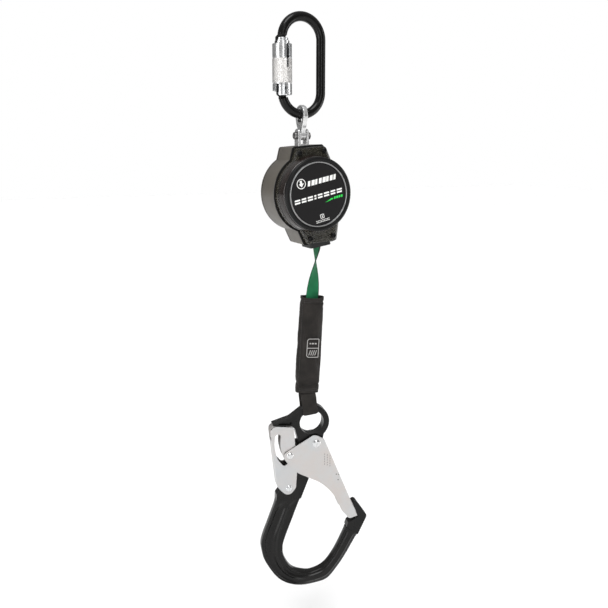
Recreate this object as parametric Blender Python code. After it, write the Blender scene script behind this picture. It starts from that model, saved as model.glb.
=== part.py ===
"""A self retracting lifeline: carabiner, anchor eye, webbing reel, energy absorber and scaffold hook.

World frame: the origin is the inside top of the carabiner, where the anchorage bears. +Z is up, the
label faces -Y and the carabiner's gate is on the -X side. Sizes are in millimetres, and add_object
turns them into metres.
"""

import math

import bmesh
import bpy
from mathutils import Matrix, Vector
from mathutils.geometry import tessellate_polygon

MM = 0.001
GAP = 0.3  # between pieces that touch

# Carabiner: an oval of round bar in the XZ plane
BAR = 5.0  # radius
BOW = 23.25  # radius of the bar's centre line in the two bends
BOW_TOP = -18.25  # heights of the centres of the bends
BOW_LOW = -71.75
GATE_X = -23.2
GATE_R = 6.5
GATE_TOP = -18.0
GATE_LOW = -77.0
GATE_PIN_Z = -74.0
SLEEVE_IN = 8.3
SLEEVE_OUT = 10.3
SLEEVE_TOP = -24.0
SLEEVE_LOW = -75.8

# Anchor eye, yoke and bolt
EYE_AXIS_Z = BOW_LOW - BOW  # centre of the bar that the eye hangs on
BOLT_Z = -117.7
BOLT_R = 2.45
YOKE_HALF = 6.4
YOKE_INNER = 3.7
YOKE_DEPTH = 5.2
ROLL_PIN_Z = -134.4
ROLL_PIN_R = 1.9

# Housing: its own frame has the drum's centre as origin and is rolled about the yoke pin
ROLL = -8.3
PIN_ABOVE_DRUM = 46.0
SHELL_R = 44.0
WALL = 1.8
STEP = 1.6  # how far the front shell stands inside the rear one
EAR_WALL = 1.0
SEAM_Y = -5.7  # front rim of the rear shell
SHELL_BACK = 29.0
EAR_FRONT = -15.0
FRONT_RIM = -7.4  # back rim of the front shell
FRONT_FACE = -24.6
SCREWS = ((-10.5, 45.8), (19.6, 44.4), (-10.5, -48.6), (18.3, -50.6))
PLATE_NEAR, PLATE_FAR = 10.3, 11.9
SHAFT_R = 4.0
FLANGE_R = 33.5
WOUND_R = 29.2
EXIT_X = 3.7  # where the webbing leaves, sideways of the drum's centre
BAR_Z = -47.0  # guide bars
GUIDE_R = 4.0
PAWL_AT = 14.0
TEETH = 12

# Lifeline webbing, energy absorber and web loop
WEB_W, WEB_T = 17.0, 1.4
PACK_TOP = Vector((13.5, 0.0, -298.2))
PACK_LOW = Vector((6.4, 0.0, -413.6))
PACK_HALF_W, PACK_HALF_D = 14.25, 9.0
YAW = -14.0  # of the absorber, the loop and the hook, about Z
LOOP_W, LOOP_T = 18.0, 2.0
LOOP_TOP_Z = 1.8  # hinge of the loop, above the absorber's lower edge

# Scaffold hook: its own frame has the point where it hangs in the web loop as origin
HOOK_EYE = Vector((10.3, -1.0, -449.0))
HOOK_HALF = 6.0  # half the thickness of the forging
EYE_CENTRE = (0.8, -2.2)
EYE_IN, EYE_OUT = 14.7, 21.6
PIVOT = (5.8, -28.1)
LOCK = (-26.6, -40.8)
LEVER_PIN = (-27.8, -83.9)
LEVER_NEAR, LEVER_FAR = 6.4, 7.9
GATE_NEAR, GATE_FAR = 8.3, 9.8
GATE_SWING = 45.0
LEVER_SHARE = 0.311  # lever angle for each degree of the gate


# ---- outlines ----

def polar(radius, degrees, centre=(0.0, 0.0)):
    angle = math.radians(degrees)
    return (centre[0] + radius * math.cos(angle), centre[1] + radius * math.sin(angle))


def arc(centre, radius, start, end, steps):
    return [polar(radius, start + (end - start) * i / steps, centre) for i in range(steps + 1)]


def circle(radius, steps, centre=(0.0, 0.0)):
    return arc(centre, radius, 0, 360, steps)[:-1]


def fillet(corners, steps=3):
    """A closed outline from corners (x, z) or (x, z, radius), the latter rounded."""
    points = []
    for i, corner in enumerate(corners):
        here = Vector(corner[:2])
        if len(corner) == 2:
            points.append(tuple(here))
            continue
        back = (Vector(corners[i - 1][:2]) - here).normalized()
        ahead = (Vector(corners[(i + 1) % len(corners)][:2]) - here).normalized()
        half = back.angle(ahead) / 2
        centre = here + (back + ahead).normalized() * corner[2] / math.sin(half)
        first = here + back * corner[2] / math.tan(half) - centre
        last = here + ahead * corner[2] / math.tan(half) - centre
        turn = first.angle_signed(last)
        for k in range(steps + 1):
            points.append(tuple(centre + Matrix.Rotation(-turn * k / steps, 2) @ first))
    return points


def smooth(knots, steps):
    """An open Catmull-Rom line through the knots, ends included."""
    ends = [Vector(k) for k in knots]
    padded = [2 * ends[0] - ends[1], *ends, 2 * ends[-1] - ends[-2]]
    points = []
    for a, b, c, d in zip(padded, padded[1:], padded[2:], padded[3:]):
        for k in range(steps):
            t = k / steps
            point = 2 * b + (c - a) * t + (2 * a - 5 * b + 4 * c - d) * t * t
            point += (3 * b - a - 3 * c + d) * t ** 3
            points.append(tuple(point / 2))
    return [*points, tuple(ends[-1])]


def band(path, half_width, cap_steps):
    """The closed outline of a slot or strip of even width along a path, with round ends."""
    sides = []
    for i, point in enumerate(path):
        along = Vector(path[min(i + 1, len(path) - 1)]) - Vector(path[max(i - 1, 0)])
        sides.append((Vector(point), along.normalized().orthogonal()))
    heading = math.degrees(math.atan2(sides[-1][1].y, sides[-1][1].x))
    start = math.degrees(math.atan2(-sides[0][1].y, -sides[0][1].x))
    outline = [tuple(p + n * half_width) for p, n in sides]
    outline += arc(path[-1], half_width, heading, heading - 180, cap_steps)[1:-1]
    outline += [tuple(p - n * half_width) for p, n in reversed(sides)]
    outline += arc(path[0], half_width, start, start - 180, cap_steps)[1:-1]
    return outline


def superellipse(half_x, half_y, power, steps):
    """A closed ring between an ellipse (power 2) and a rectangle."""
    ring = []
    for i in range(steps):
        c, s = polar(1.0, 360 * (i + 0.5) / steps)
        x = half_x * math.copysign(abs(c) ** (2 / power), c)
        y = half_y * math.copysign(abs(s) ** (2 / power), s)
        ring.append((x, y))
    return ring


# ---- solids ----

def material(name, colour, roughness, metallic):
    made = bpy.data.materials.new(name)
    made.use_nodes = True
    shader = made.node_tree.nodes["Principled BSDF"]
    shader.inputs["Base Color"].default_value = (*colour, 1.0)
    shader.inputs["Roughness"].default_value = roughness
    shader.inputs["Metallic"].default_value = metallic
    return made


def group(name, place=None, parent=None):
    """An empty that stands for a local frame; place is its matrix in millimetres."""
    empty = bpy.data.objects.new(name, None)
    bpy.context.scene.collection.objects.link(empty)
    if place is not None:
        empty.location = place.translation * MM
        empty.rotation_euler = place.to_euler()
    empty.parent = parent
    return empty


def add_object(name, vertices, faces, finish, parent=None, origin=(0, 0, 0)):
    """A mesh object whose origin is a point of its parent's frame, such as a joint's axis."""
    start = Vector(origin)
    mesh = bpy.data.meshes.new(name)
    mesh.from_pydata([(Vector(v) - start) * MM for v in vertices], [], faces)
    if finish:
        mesh.materials.append(FINISHES[finish])
    work = bmesh.new()
    work.from_mesh(mesh)
    bmesh.ops.recalc_face_normals(work, faces=work.faces)
    work.to_mesh(mesh)
    work.free()
    mesh.shade_smooth()
    mesh.set_sharp_from_angle(angle=math.radians(35))
    made = bpy.data.objects.new(name, mesh)
    made.location = start * MM
    made.parent = parent
    bpy.context.scene.collection.objects.link(made)
    return made


def lift(plane, point, height):
    """A point of an outline, at a height along the normal of its plane."""
    a, b = point
    return {"XZ": (a, height, b), "YZ": (height, a, b), "XY": (a, b, height)}[plane]


def prism(name, outline, low, high, finish, holes=(), plane="XZ", **where):
    loops = [list(outline), *[list(hole) for hole in holes]]
    flat = [point for loop in loops for point in loop]
    count = len(flat)
    vertices = [lift(plane, point, height) for height in (low, high) for point in flat]
    caps = tessellate_polygon([[Vector((x, z, 0)) for x, z in loop] for loop in loops])
    faces = [tuple(cap) for cap in caps] + [tuple(i + count for i in reversed(cap)) for cap in caps]
    first = 0
    for loop in loops:
        for i in range(len(loop)):
            a, b = first + i, first + (i + 1) % len(loop)
            faces.append((a, b, b + count, a + count))
        first += len(loop)
    return add_object(name, vertices, faces, finish, **where)


def loft(name, rings, finish, closed=False, **where):
    """Skin over rings of equal size; an open skin is capped at both ends."""
    size = len(rings[0])
    vertices = [point for ring in rings for point in ring]
    faces = []
    for r in range(len(rings) if closed else len(rings) - 1):
        near, far = r * size, (r + 1) % len(rings) * size
        for i in range(size):
            j = (i + 1) % size
            faces.append((near + i, near + j, far + j, far + i))
    if not closed:
        faces.append(tuple(range(size)))
        faces.append(tuple(range(len(vertices) - size, len(vertices))))
    return add_object(name, vertices, faces, finish, **where)


def lathe(name, profile, steps, finish, axis="Y", centre=(0.0, 0.0), **where):
    """A profile of (radius, height) turned about an axis through centre; a zero radius is a pole."""
    vertices, rings = [], []
    for radius, height in profile:
        turned = circle(radius, steps, centre) if radius else [centre]
        rings.append(range(len(vertices), len(vertices) + len(turned)))
        for a, b in turned:
            vertices.append({"Y": (a, height, b), "X": (height, a, b), "Z": (a, b, height)}[axis])
    faces = []
    for k, near in enumerate(rings):
        far = rings[(k + 1) % len(rings)]
        for i in range(steps):
            j = (i + 1) % steps
            corners = [near[i % len(near)], near[j % len(near)], far[j % len(far)], far[i % len(far)]]
            unique = list(dict.fromkeys(corners))
            if len(unique) > 2:
                faces.append(tuple(unique))
    return add_object(name, vertices, faces, finish, **where)


def wire(name, path, radius, sides, finish, **where):
    """A round bar along an open path of points in space."""
    points = [Vector(p) for p in path]
    rings = []
    normal = (points[1] - points[0]).orthogonal().normalized()
    for i, point in enumerate(points):
        along = (points[min(i + 1, len(points) - 1)] - points[max(i - 1, 0)]).normalized()
        normal = (normal - along * normal.dot(along)).normalized()
        side = along.cross(normal)
        rings.append([point + (normal * a + side * b) for a, b in circle(radius, sides)])
    return loft(name, rings, finish, **where)


def helix(radius, start, pitch, turns, steps, centre=(0.0, 0.0)):
    """Points of a coil about Y, from start along +Y."""
    count = int(turns * steps)
    path = []
    for i in range(count + 1):
        x, z = polar(radius, 360 * i / steps, centre)
        path.append((x, start + pitch * i / steps, z))
    return path


def rod(name, radius, low, high, finish, axis="Y", centre=(0.0, 0.0), steps=16, **where):
    profile = ((0, low), (radius, low), (radius, high), (0, high))
    return lathe(name, profile, steps, finish, axis, centre, **where)


def block(name, low, high, finish, **where):
    outline = ((low[0], low[2]), (high[0], low[2]), (high[0], high[2]), (low[0], high[2]))
    return prism(name, outline, low[1], high[1], finish, **where)


def combine(target, tool, operation="DIFFERENCE"):
    """Cut the tool from the target, or join it on; the tool itself is left out of the model."""
    tool.hide_render = True
    tool.display_type = "WIRE"
    step = target.modifiers.new(operation.title(), "BOOLEAN")
    step.operation = operation
    step.solver = "EXACT"
    step.object = tool


def join_tools(name, tools):
    """Several separate tools as one object, so that one Boolean uses them all."""
    joined = bmesh.new()
    for tool in tools:
        part = tool.data.copy()
        part.transform(tool.matrix_basis)
        joined.from_mesh(part)
        bpy.data.meshes.remove(part)
    mesh = bpy.data.meshes.new(name)
    joined.to_mesh(mesh)
    joined.free()
    made = bpy.data.objects.new(name, mesh)
    made.parent = tools[0].parent
    bpy.context.scene.collection.objects.link(made)
    for tool in tools:
        bpy.data.objects.remove(tool)
    return made


# ---- carabiner ----

def bar_ring(x, z, heading, half_flat, half_y, power=2.0):
    """A section of the bar; heading is the direction of travel in the XZ plane, in degrees."""
    out_x, out_z = polar(1.0, heading - 90)
    ring = superellipse(half_flat, half_y, power, 12)
    return [(x + out_x * a, b, z + out_z * a) for a, b in ring]


def carabiner_body():
    """The bar, with the nose tongue and the hinge tongue that the gate's slots fit over."""
    nose_end, hinge_end = 172.0, 198.2  # where the round bar stops, as angles round the bends
    rings = [bar_ring(-25.2, z, 90, 5.2, 2.6, 5) for z in (-22.6, -17.5)]
    for i in range(13):
        angle = nose_end - nose_end * i / 12
        x, z = polar(BOW, angle, (0, BOW_TOP))
        rings.append(bar_ring(x, z, angle - 90, BAR, BAR))
    for i in range(13):
        angle = -(360 - hinge_end) * i / 12
        x, z = polar(BOW, angle, (0, BOW_LOW))
        rings.append(bar_ring(x, z, angle - 90, BAR, BAR))
    rings += [bar_ring(GATE_X, z, 90, 4.0, 2.2, 5) for z in (-80.0, -70.0)]
    body = loft("carabiner_body", rings, "black_gloss")
    combine(body, rod("hinge_bore", 1.65, -9, 9, None, centre=(GATE_X, GATE_PIN_Z)))


def carabiner_gate():
    axis = (GATE_X, 0, GATE_PIN_Z)
    profile = ((0, GATE_TOP), (5.7, GATE_TOP), (GATE_R, GATE_TOP - 0.8), (GATE_R, -21.0), (7.8, -21.0),
               (7.8, SLEEVE_TOP + GAP), (GATE_R, SLEEVE_TOP + GAP), (GATE_R, -75.2), (4.0, GATE_LOW), (0, GATE_LOW))
    gate = lathe("carabiner_gate", profile, 20, "zinc", "Z", (GATE_X, 0), origin=axis)
    slots = join_tools("gate_slots", [
        block("nose_slot", (-40, -3.1, -24.4), (-19.4, 3.1, 0), None),
        block("hinge_slot", (-40, -2.7, -90), (0, 2.7, -66), None),
    ])
    combine(gate, slots)
    combine(gate, rod("gate_bore", 1.65, -9, 9, None, centre=(GATE_X, GATE_PIN_Z)))
    rod("carabiner_gate_pin", 1.35, -6.0, 6.0, "steel", centre=(GATE_X, GATE_PIN_Z), origin=axis)


def carabiner_sleeve():
    """The locking sleeve turns about the gate; its upper slot lines up with the nose to unlock."""
    axis = (GATE_X, 0, SLEEVE_LOW)
    knurl = SLEEVE_OUT + 0.25
    profile = ((SLEEVE_IN, SLEEVE_TOP), (9.4, SLEEVE_TOP), (SLEEVE_OUT, -24.8), (SLEEVE_OUT, -38.2),
               (knurl, -38.6), (knurl, -63.9), (SLEEVE_OUT, -64.3), (SLEEVE_OUT, SLEEVE_LOW + 0.8),
               (9.4, SLEEVE_LOW), (SLEEVE_IN, SLEEVE_LOW))
    sleeve = lathe("carabiner_sleeve", profile, 28, "zinc", "Z", (GATE_X, 0), origin=axis)
    keyhole = ((-3.8, -20.0), (-3.8, -37.5), (-1.1, -39.0), (-1.1, -48.0), (1.1, -48.0), (1.1, -39.0),
               (3.8, -37.5), (3.8, -20.0))
    top_notch = prism("top_notch", keyhole, -14, -5, None)
    low_notch = block("low_notch", (-6.0, -14, -80), (6.0, -4, -64.8), None)
    for notch, facing in ((top_notch, 8), (low_notch, -28)):
        notch.location.x = GATE_X * MM
        notch.rotation_euler.z = math.radians(facing)
    combine(sleeve, join_tools("sleeve_cuts", [top_notch, low_notch]))
    coil = [(GATE_X + x, z, y) for x, y, z in helix(7.4, -62.0, 3.2, 3, 14)]
    wire("sleeve_spring", coil, 0.38, 5, "steel", origin=axis)


# ---- anchor eye and yoke ----

def anchor_eye():
    axis = (0, 0, EYE_AXIS_Z)
    side = smooth(((0, -85.0), (6.9, -87.9), (10.2, -96.0), (8.4, -104.8), (5.4, -110.4), (4.3, -116.0)), 3)
    boss = arc((0, BOLT_Z), 4.5, 10, -90, 4)[1:]
    right = side[:-1] + boss
    outline = right + [(-y, z) for y, z in reversed(right[1:-1])]
    eye_hole = arc((0, EYE_AXIS_Z - 0.25), 5.55, 0, 180, 8) + arc((0, -99.4), 5.55, 180, 360, 8)
    eye = prism("anchor_eye", outline, -2.6, 2.6, "zinc", [eye_hole], "YZ", origin=axis)
    round_edge(eye, 1.7, 2)
    combine(eye, rod("eye_boss", 4.6, -3.3, 3.3, None, "X", (0, BOLT_Z), 20), "UNION")
    combine(eye, rod("eye_bore", BOLT_R + GAP, -9, 9, None, "X", (0, BOLT_Z)))


def round_edge(target, width, segments):
    bevel = target.modifiers.new("Round", "BEVEL")
    bevel.width = width * MM
    bevel.segments = segments
    bevel.limit_method = "ANGLE"
    bevel.angle_limit = math.radians(60)


def yoke():
    axis = (0, 0, BOLT_Z)
    ear_centre = -115.4
    outline = arc((0, ear_centre), YOKE_DEPTH, 0, 180, 8)
    outline += fillet(((-YOKE_DEPTH, -120), (-YOKE_DEPTH, -138.6, 2), (YOKE_DEPTH, -138.6, 2), (YOKE_DEPTH, -120)))
    made = prism("yoke", outline, -YOKE_HALF, YOKE_HALF, "zinc", plane="YZ", origin=axis)
    combine(made, join_tools("yoke_cuts", [
        block("yoke_gap", (-YOKE_INNER, -9, -126.5), (YOKE_INNER, 9, -100), None),
        rod("yoke_bore", ROLL_PIN_R + GAP, -9, 9, None, centre=(0, ROLL_PIN_Z)),
    ]))
    combine(made, rod("bolt_bore", BOLT_R + GAP, -9, 9, None, "X", (0, BOLT_Z)))
    bolt = ((0, -8.6), (1.3, -8.6), (1.6, -9.7), (3.4, -9.7), (4.0, -9.1), (4.0, -YOKE_HALF - GAP),
            (BOLT_R, -YOKE_HALF - GAP), (BOLT_R, 9.7), (0, 9.7))
    lathe("yoke_bolt", bolt, 16, "bronze", "X", (0, BOLT_Z), origin=axis)
    nut = circle(4.2, 6, (0, BOLT_Z))
    bore = circle(BOLT_R + GAP, 12, (0, BOLT_Z))
    prism("yoke_nut", nut, YOKE_HALF + GAP, 9.2, "bronze", [bore], "YZ", origin=axis)


# ---- housing ----

def shell_outline(inset):
    """Round shell with an ear above and below, drawn inwards by inset."""
    radius = SHELL_R - inset
    side = 1.08 * inset
    corners = [tuple(p) for p in arc((0, 0), radius, -48.0, 51.0, 14)]
    corners += [(23.5 - side, 50.5 - inset, 3.0), (-13.6 + side, 52.9 - inset, 3.0)]
    corners += [tuple(p) for p in arc((0, 0), radius, 115.5, 242.0, 18)]
    corners += [(-15.4 + side, -55.8 + inset, 3.0), (23.2 - side, -58.8 + inset, 3.0)]
    return fillet(corners)


def screw_rods(name, radius, low, high, parent):
    rods = [rod(f"{name}_{i}", radius, low, high, None, centre=at, steps=8, parent=parent)
            for i, at in enumerate(SCREWS)]
    return join_tools(name, rods)


def nozzle_slot(name, parent):
    return block(name, (-10.4, -13.4, -66), (16.4, 12.4, -53.2), None, parent=parent)


def rear_shell(parent):
    shell = prism("rear_shell", shell_outline(0), SEAM_Y, SHELL_BACK, "smoke_rear", parent=parent)
    hollow = prism("rear_hollow", shell_outline(WALL), SEAM_Y - 1, SHELL_BACK - WALL, None, parent=parent)
    combine(shell, hollow)
    combine(shell, screw_rods("rear_bosses", 3.0, SEAM_Y + 0.6, SHELL_BACK - 0.9, parent), "UNION")
    combine(shell, nozzle_slot("rear_nozzle_slot", parent))
    combine(shell, rod("cover_opening", 31.0, 25, 31, None, steps=40, parent=parent))
    combine(shell, block("yoke_slot", (-8.8, -8, 43), (8.8, 5.8, 56), None, parent=parent))
    combine(shell, screw_rods("rear_holes", 1.6, SEAM_Y - 1, 9, parent))
    cover = ((0, 28.7), (27.0, 28.7), (30.7, 28.2), (30.7, 27.2 - GAP), (33.0, 27.2 - GAP), (33.0, 25.6), (0, 25.6))
    lathe("rear_cover", cover, 40, "smoke_front", parent=parent)


def front_shell(parent):
    drum = ((0, FRONT_FACE), (38.8, FRONT_FACE), (41.5, -22.4), (42.4, FRONT_RIM), (0, FRONT_RIM))
    shell = lathe("front_shell", drum, 40, "smoke_front", parent=parent)
    ears = prism("front_ears", shell_outline(STEP), EAR_FRONT, FRONT_RIM, None, parent=parent)
    combine(shell, ears, "UNION")
    hollow = prism("ear_hollow", shell_outline(STEP + EAR_WALL), EAR_FRONT + EAR_WALL, FRONT_RIM + 1, None, parent=parent)
    combine(shell, hollow)
    combine(shell, screw_rods("front_bosses", 3.0, EAR_FRONT + 0.7, FRONT_RIM - 0.2, parent), "UNION")
    inside = ((0, -23.0), (38.0, -23.0), (39.8, -21.5), (40.8, FRONT_RIM + 1), (0, FRONT_RIM + 1))
    combine(shell, lathe("drum_hollow", inside, 40, None, parent=parent))
    combine(shell, nozzle_slot("front_nozzle_slot", parent))
    combine(shell, screw_rods("front_holes", 1.6, -20, -5, parent))


def front_trim(parent):
    bezel = ((0, -26.3), (35.5, -26.3), (35.5, -28.4), (36.5, -28.9), (39.2, -28.5), (40.2, -27.3),
             (40.2, FRONT_FACE - GAP), (0, FRONT_FACE - GAP))
    lathe("front_bezel", bezel, 48, "black_gloss", parent=parent)
    ring = ((33.9, -26.6), (35.1, -26.6), (35.1, -28.1), (33.9, -28.1))
    lathe("label_ring", ring, 48, "aluminium", parent=parent)
    rod("label_disc", 33.6, -27.7, -26.6, "label", steps=48, parent=parent)
    gasket = prism("shell_gasket", shell_outline(0), -7.1, -6.0, "rubber", [shell_outline(2.2)], parent=parent)
    combine(gasket, nozzle_slot("gasket_slot", parent))
    for i, at in enumerate(SCREWS):
        profile = ((0, -16.6), (1.2, -16.6), (1.5, -17.0), (2.5, -17.0), (2.9, -16.5), (2.9, EAR_FRONT - GAP),
                   (1.3, EAR_FRONT - GAP), (1.3, 6.0), (0, 6.0))
        lathe(f"housing_screw_{i + 1}", profile, 12, "black_gloss", centre=at, parent=parent)


def webbing_nozzle(parent):
    outline = fillet(((-10, -13, 3), (16, -13, 3), (16, 12, 3), (-10, 12, 3)))
    half_slot = 1.6
    slot = fillet(((EXIT_X - half_slot, -9.4), (EXIT_X + half_slot, -9.4),
                   (EXIT_X + half_slot, 9.4), (EXIT_X - half_slot, 9.4)))
    prism("webbing_nozzle", outline, -60.2, -53.6, "smoke_rear", [slot], "XY", parent=parent)


def frame_plates(parent):
    """Two steel plates that carry the yoke pin, the shaft and the guide bars."""
    corners = [tuple(p) for p in arc((0, 0), 38.6, -66, 70, 14)]
    corners += [(6.0, 41.0, 4.0), (5.0, 49.0, 3.5), (-5.0, 49.0, 3.5), (-6.0, 41.0, 4.0)]
    corners += [tuple(p) for p in arc((0, 0), 38.6, 110, 260, 16)]
    corners += [(-5.4, -52.0, 2.5), (13.4, -52.0, 2.5)]
    holes = [circle(6.3, 20), circle(ROLL_PIN_R + GAP, 12, (0, PIN_ABOVE_DRUM))]
    for name, low, high in (("frame_plate_front", -PLATE_FAR, -PLATE_NEAR), ("frame_plate_rear", PLATE_NEAR, PLATE_FAR)):
        prism(name, fillet(corners), low, high, "steel", holes, parent=parent)
    rod("yoke_pin", ROLL_PIN_R, -12.4, 12.4, "steel", centre=(0, PIN_ABOVE_DRUM), parent=parent)
    reach = PLATE_NEAR - GAP
    for i, degrees in enumerate((20, 160, 220)):
        rod(f"frame_spacer_{i + 1}", 1.9, -reach, reach, "steel", centre=polar(36.2, degrees), steps=10, parent=parent)
    for name, side in (("guide_bar_left", -1), ("guide_bar_right", 1)):
        centre = (EXIT_X + side * (GUIDE_R + 1.5), BAR_Z)
        rod(name, GUIDE_R, -reach, reach, "steel", centre=centre, steps=16, parent=parent)
    for name, side in (("shaft_bushing_front", -1), ("shaft_bushing_rear", 1)):
        profile = ((4.3, side * 12.9), (8, side * 12.9), (8, side * 12.2), (6, side * 12.2), (6, side * 10.2),
                   (4.3, side * 10.2))
        lathe(name, profile, 16, "bronze", parent=parent)


def drum(parent):
    rod("main_shaft", SHAFT_R, -22.2, 19.5, "steel", steps=16, parent=parent)
    spool = ((4.3, -9.8), (FLANGE_R, -9.8), (FLANGE_R, -8.8), (12.0, -8.8), (12.0, 8.8), (FLANGE_R, 8.8),
             (FLANGE_R, 9.8), (4.3, 9.8))
    lathe("webbing_drum", spool, 36, "aluminium", parent=parent)
    wound = ((12.3, -WEB_W / 2), (WOUND_R, -WEB_W / 2), (WOUND_R, WEB_W / 2), (12.3, WEB_W / 2))
    lathe("wound_webbing", wound, 36, "green_web", parent=parent)


def power_spring(parent):
    turns, steps, thick = 5, 16, 0.6
    rings = []
    for i in range(turns * steps + 1):
        radius = 5.4 + (25.6 - 5.4) * i / (turns * steps)
        inner, outer = (polar(radius + side, 360 * i / steps) for side in (0, thick))
        rings.append([(inner[0], -21.1, inner[1]), (outer[0], -21.1, outer[1]),
                      (outer[0], -13.8, outer[1]), (inner[0], -13.8, inner[1])])
    loft("power_spring", rings, "steel", parent=parent)
    case = ((4.9, -22.7), (28.0, -22.7), (28.0, -13.2), (26.9, -13.2), (26.9, -21.5), (4.9, -21.5))
    lathe("spring_case", case, 36, "black_plastic", parent=parent)


def brake(parent):
    """Two pawls on a carrier that turns with the drum, inside a ring of teeth fixed to the frame."""
    teeth = []
    pitch = 360 / TEETH
    for i in range(TEETH):
        start = -6.0 - pitch * i
        teeth += [polar(23.1, start), polar(25.8, start - 12), polar(26.0, start - 24), polar(23.1, start - 26)]
    ring = circle(29.0, 36)
    prism("ratchet_ring", ring, PLATE_FAR + GAP, 17.6, "steel", [teeth], parent=parent)
    carrier = lathe("pawl_carrier", ((4.3, 13.2), (19.0, 13.2), (19.0, 14.8), (4.3, 14.8)), 28, "steel", parent=parent)
    posts = [rod(f"post_{i}", 1.5, 14.0, 19.4, None, centre=(side * PAWL_AT, 0), steps=12, parent=parent)
             for i, side in enumerate((1, -1))]
    combine(carrier, join_tools("carrier_posts", posts), "UNION")
    for i, side in enumerate((1, -1)):
        pawl = [(x * side, z * side) for x, z in
                arc((PAWL_AT, 0), 3.3, -20, 190, 9) + [(13.2, -8.0), (16.4, -12.4), (18.2, -11.9)]]
        hole = circle(1.8, 12, (side * PAWL_AT, 0))
        axis = (side * PAWL_AT, 0, 0)
        prism(f"pawl_{i + 1}", pawl, 15.1, 17.3, "steel", [hole], parent=parent, origin=axis)
        coil = helix(2.3, 17.9, 0.8, 1.5, 12, (side * PAWL_AT, 0))
        wire(f"pawl_spring_{i + 1}", coil, 0.3, 5, "steel", parent=parent, origin=axis)


def housing():
    turn = Matrix.Rotation(math.radians(ROLL), 4, "Y")
    pin = Matrix.Translation((0, 0, ROLL_PIN_Z))
    place = pin @ turn @ Matrix.Translation((0, 0, -PIN_ABOVE_DRUM))
    frame = group("housing_frame", place)
    rear_shell(frame)
    front_shell(frame)
    front_trim(frame)
    webbing_nozzle(frame)
    frame_plates(frame)
    drum(frame)
    power_spring(frame)
    brake(frame)
    return place


# ---- lifeline, absorber and loop ----

def ribbon(name, path, twists):
    """Flat webbing along a path; a twist is the heading of its width about Z, in degrees."""
    rings = []
    for i, (point, twist) in enumerate(zip(path, twists)):
        along = (path[min(i + 1, len(path) - 1)] - path[max(i - 1, 0)]).normalized()
        width = Vector((*polar(1.0, twist), 0))
        width = (width - along * width.dot(along)).normalized()
        flat = along.cross(width)
        rings.append([point + width * a * WEB_W / 2 + flat * b * WEB_T / 2
                      for a, b in ((-1, -1), (1, -1), (1, 1), (-1, 1))])
    loft(name, rings, "green_web")


def lifeline_webbing(place):
    """The webbing runs off the drum between the guide bars, then turns a quarter into the absorber."""
    reel = smooth(((24.6, -19.0), (15.0, -30.6), (6.4, -41.0), (EXIT_X, -47.0), (EXIT_X, -61.5)), 3)
    ribbon("webbing_lead", [place @ Vector((x, 0, z)) for x, z in reel], [90] * len(reel))
    leave = place @ Vector((EXIT_X, 0, -61.5 - GAP))
    sink = PACK_LOW.lerp(PACK_TOP, 0.965)
    steps = 12
    shares = [i / steps for i in range(steps + 1)]
    turns = [-90 - 86 * (3 - 2 * share) * share ** 2 for share in shares]
    ribbon("lifeline_webbing", [leave.lerp(sink, share) for share in shares], turns)


def absorber():
    lean = math.atan2(PACK_TOP.x - PACK_LOW.x, PACK_TOP.z - PACK_LOW.z)
    turn = Matrix.Rotation(lean, 4, "Y") @ Matrix.Rotation(math.radians(YAW), 4, "Z")
    frame = group("absorber_frame", Matrix.Translation(PACK_LOW) @ turn)
    height = (PACK_TOP - PACK_LOW).length
    thick = 1.2
    sizes = ((0, 0, 0), (0.2, 1.0, 0.0), (0.8, 1.0, 0.0), (1, 0, 0))
    outer = [(share, 0.6 * (1 - full), 1.0 * (1 - full)) for share, full, _ in sizes]
    rings = []
    for share, less_w, less_d in outer:
        ring = superellipse(PACK_HALF_W - less_w, PACK_HALF_D - less_d, 3, 20)
        rings.append([(x, y, height * share) for x, y in ring])
    for share, less_w, less_d in reversed(outer):
        ring = superellipse(PACK_HALF_W - thick - less_w, PACK_HALF_D - thick - less_d, 3, 20)
        rings.append([(x, y, height * share) for x, y in ring])
    loft("absorber_cover", rings, "black_fabric", closed=True, parent=frame)
    core = superellipse(11.8, 6.0, 4, 16)
    loft("absorber_core", [[(x, y, z) for x, y in core] for z in (7.0, 106.0)], "black_fabric", parent=frame)
    patch = ((-6.2, 43.6, 0.8), (9.8, 43.6, 0.8), (9.8, 67.8, 0.8), (-6.2, 67.8, 0.8))
    prism("pictogram_patch", fillet(patch), -10.0, -9.4, "label", parent=frame)


def web_loop():
    """A closed band of webbing from the absorber round the top of the hook's eye."""
    top = Vector((PACK_LOW.x, 0, PACK_LOW.z + LOOP_TOP_Z))
    drop = HOOK_EYE - top
    reach = drop.length
    down = -drop.normalized()
    across = Matrix.Rotation(math.radians(YAW), 3, "Z") @ Vector((1, 0, 0))
    across = (across - down * across.dot(down)).normalized()
    turn = Matrix((across, down.cross(across), down)).transposed()
    frame = group("loop_frame", Matrix.Translation(top) @ turn.to_4x4())
    shoulder, low = -(reach - 25.0), -(reach - 7.8)
    inner_half = HOOK_HALF + 0.5
    outer_half = inner_half + LOOP_T
    outer = fillet(((-2.6, 0, 1.0), (-outer_half, shoulder), (-outer_half, low - LOOP_T, 2.5),
                    (outer_half, low - LOOP_T, 2.5), (outer_half, shoulder), (2.6, 0, 1.0)))
    inner = fillet(((-0.7, -2.4), (-inner_half, shoulder), (-inner_half, low, 0.8),
                    (inner_half, low, 0.8), (inner_half, shoulder), (0.7, -2.4)))
    prism("web_loop", outer, -LOOP_W / 2, LOOP_W / 2, "black_fabric", [inner], "YZ", parent=frame)


# ---- scaffold hook ----

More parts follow.
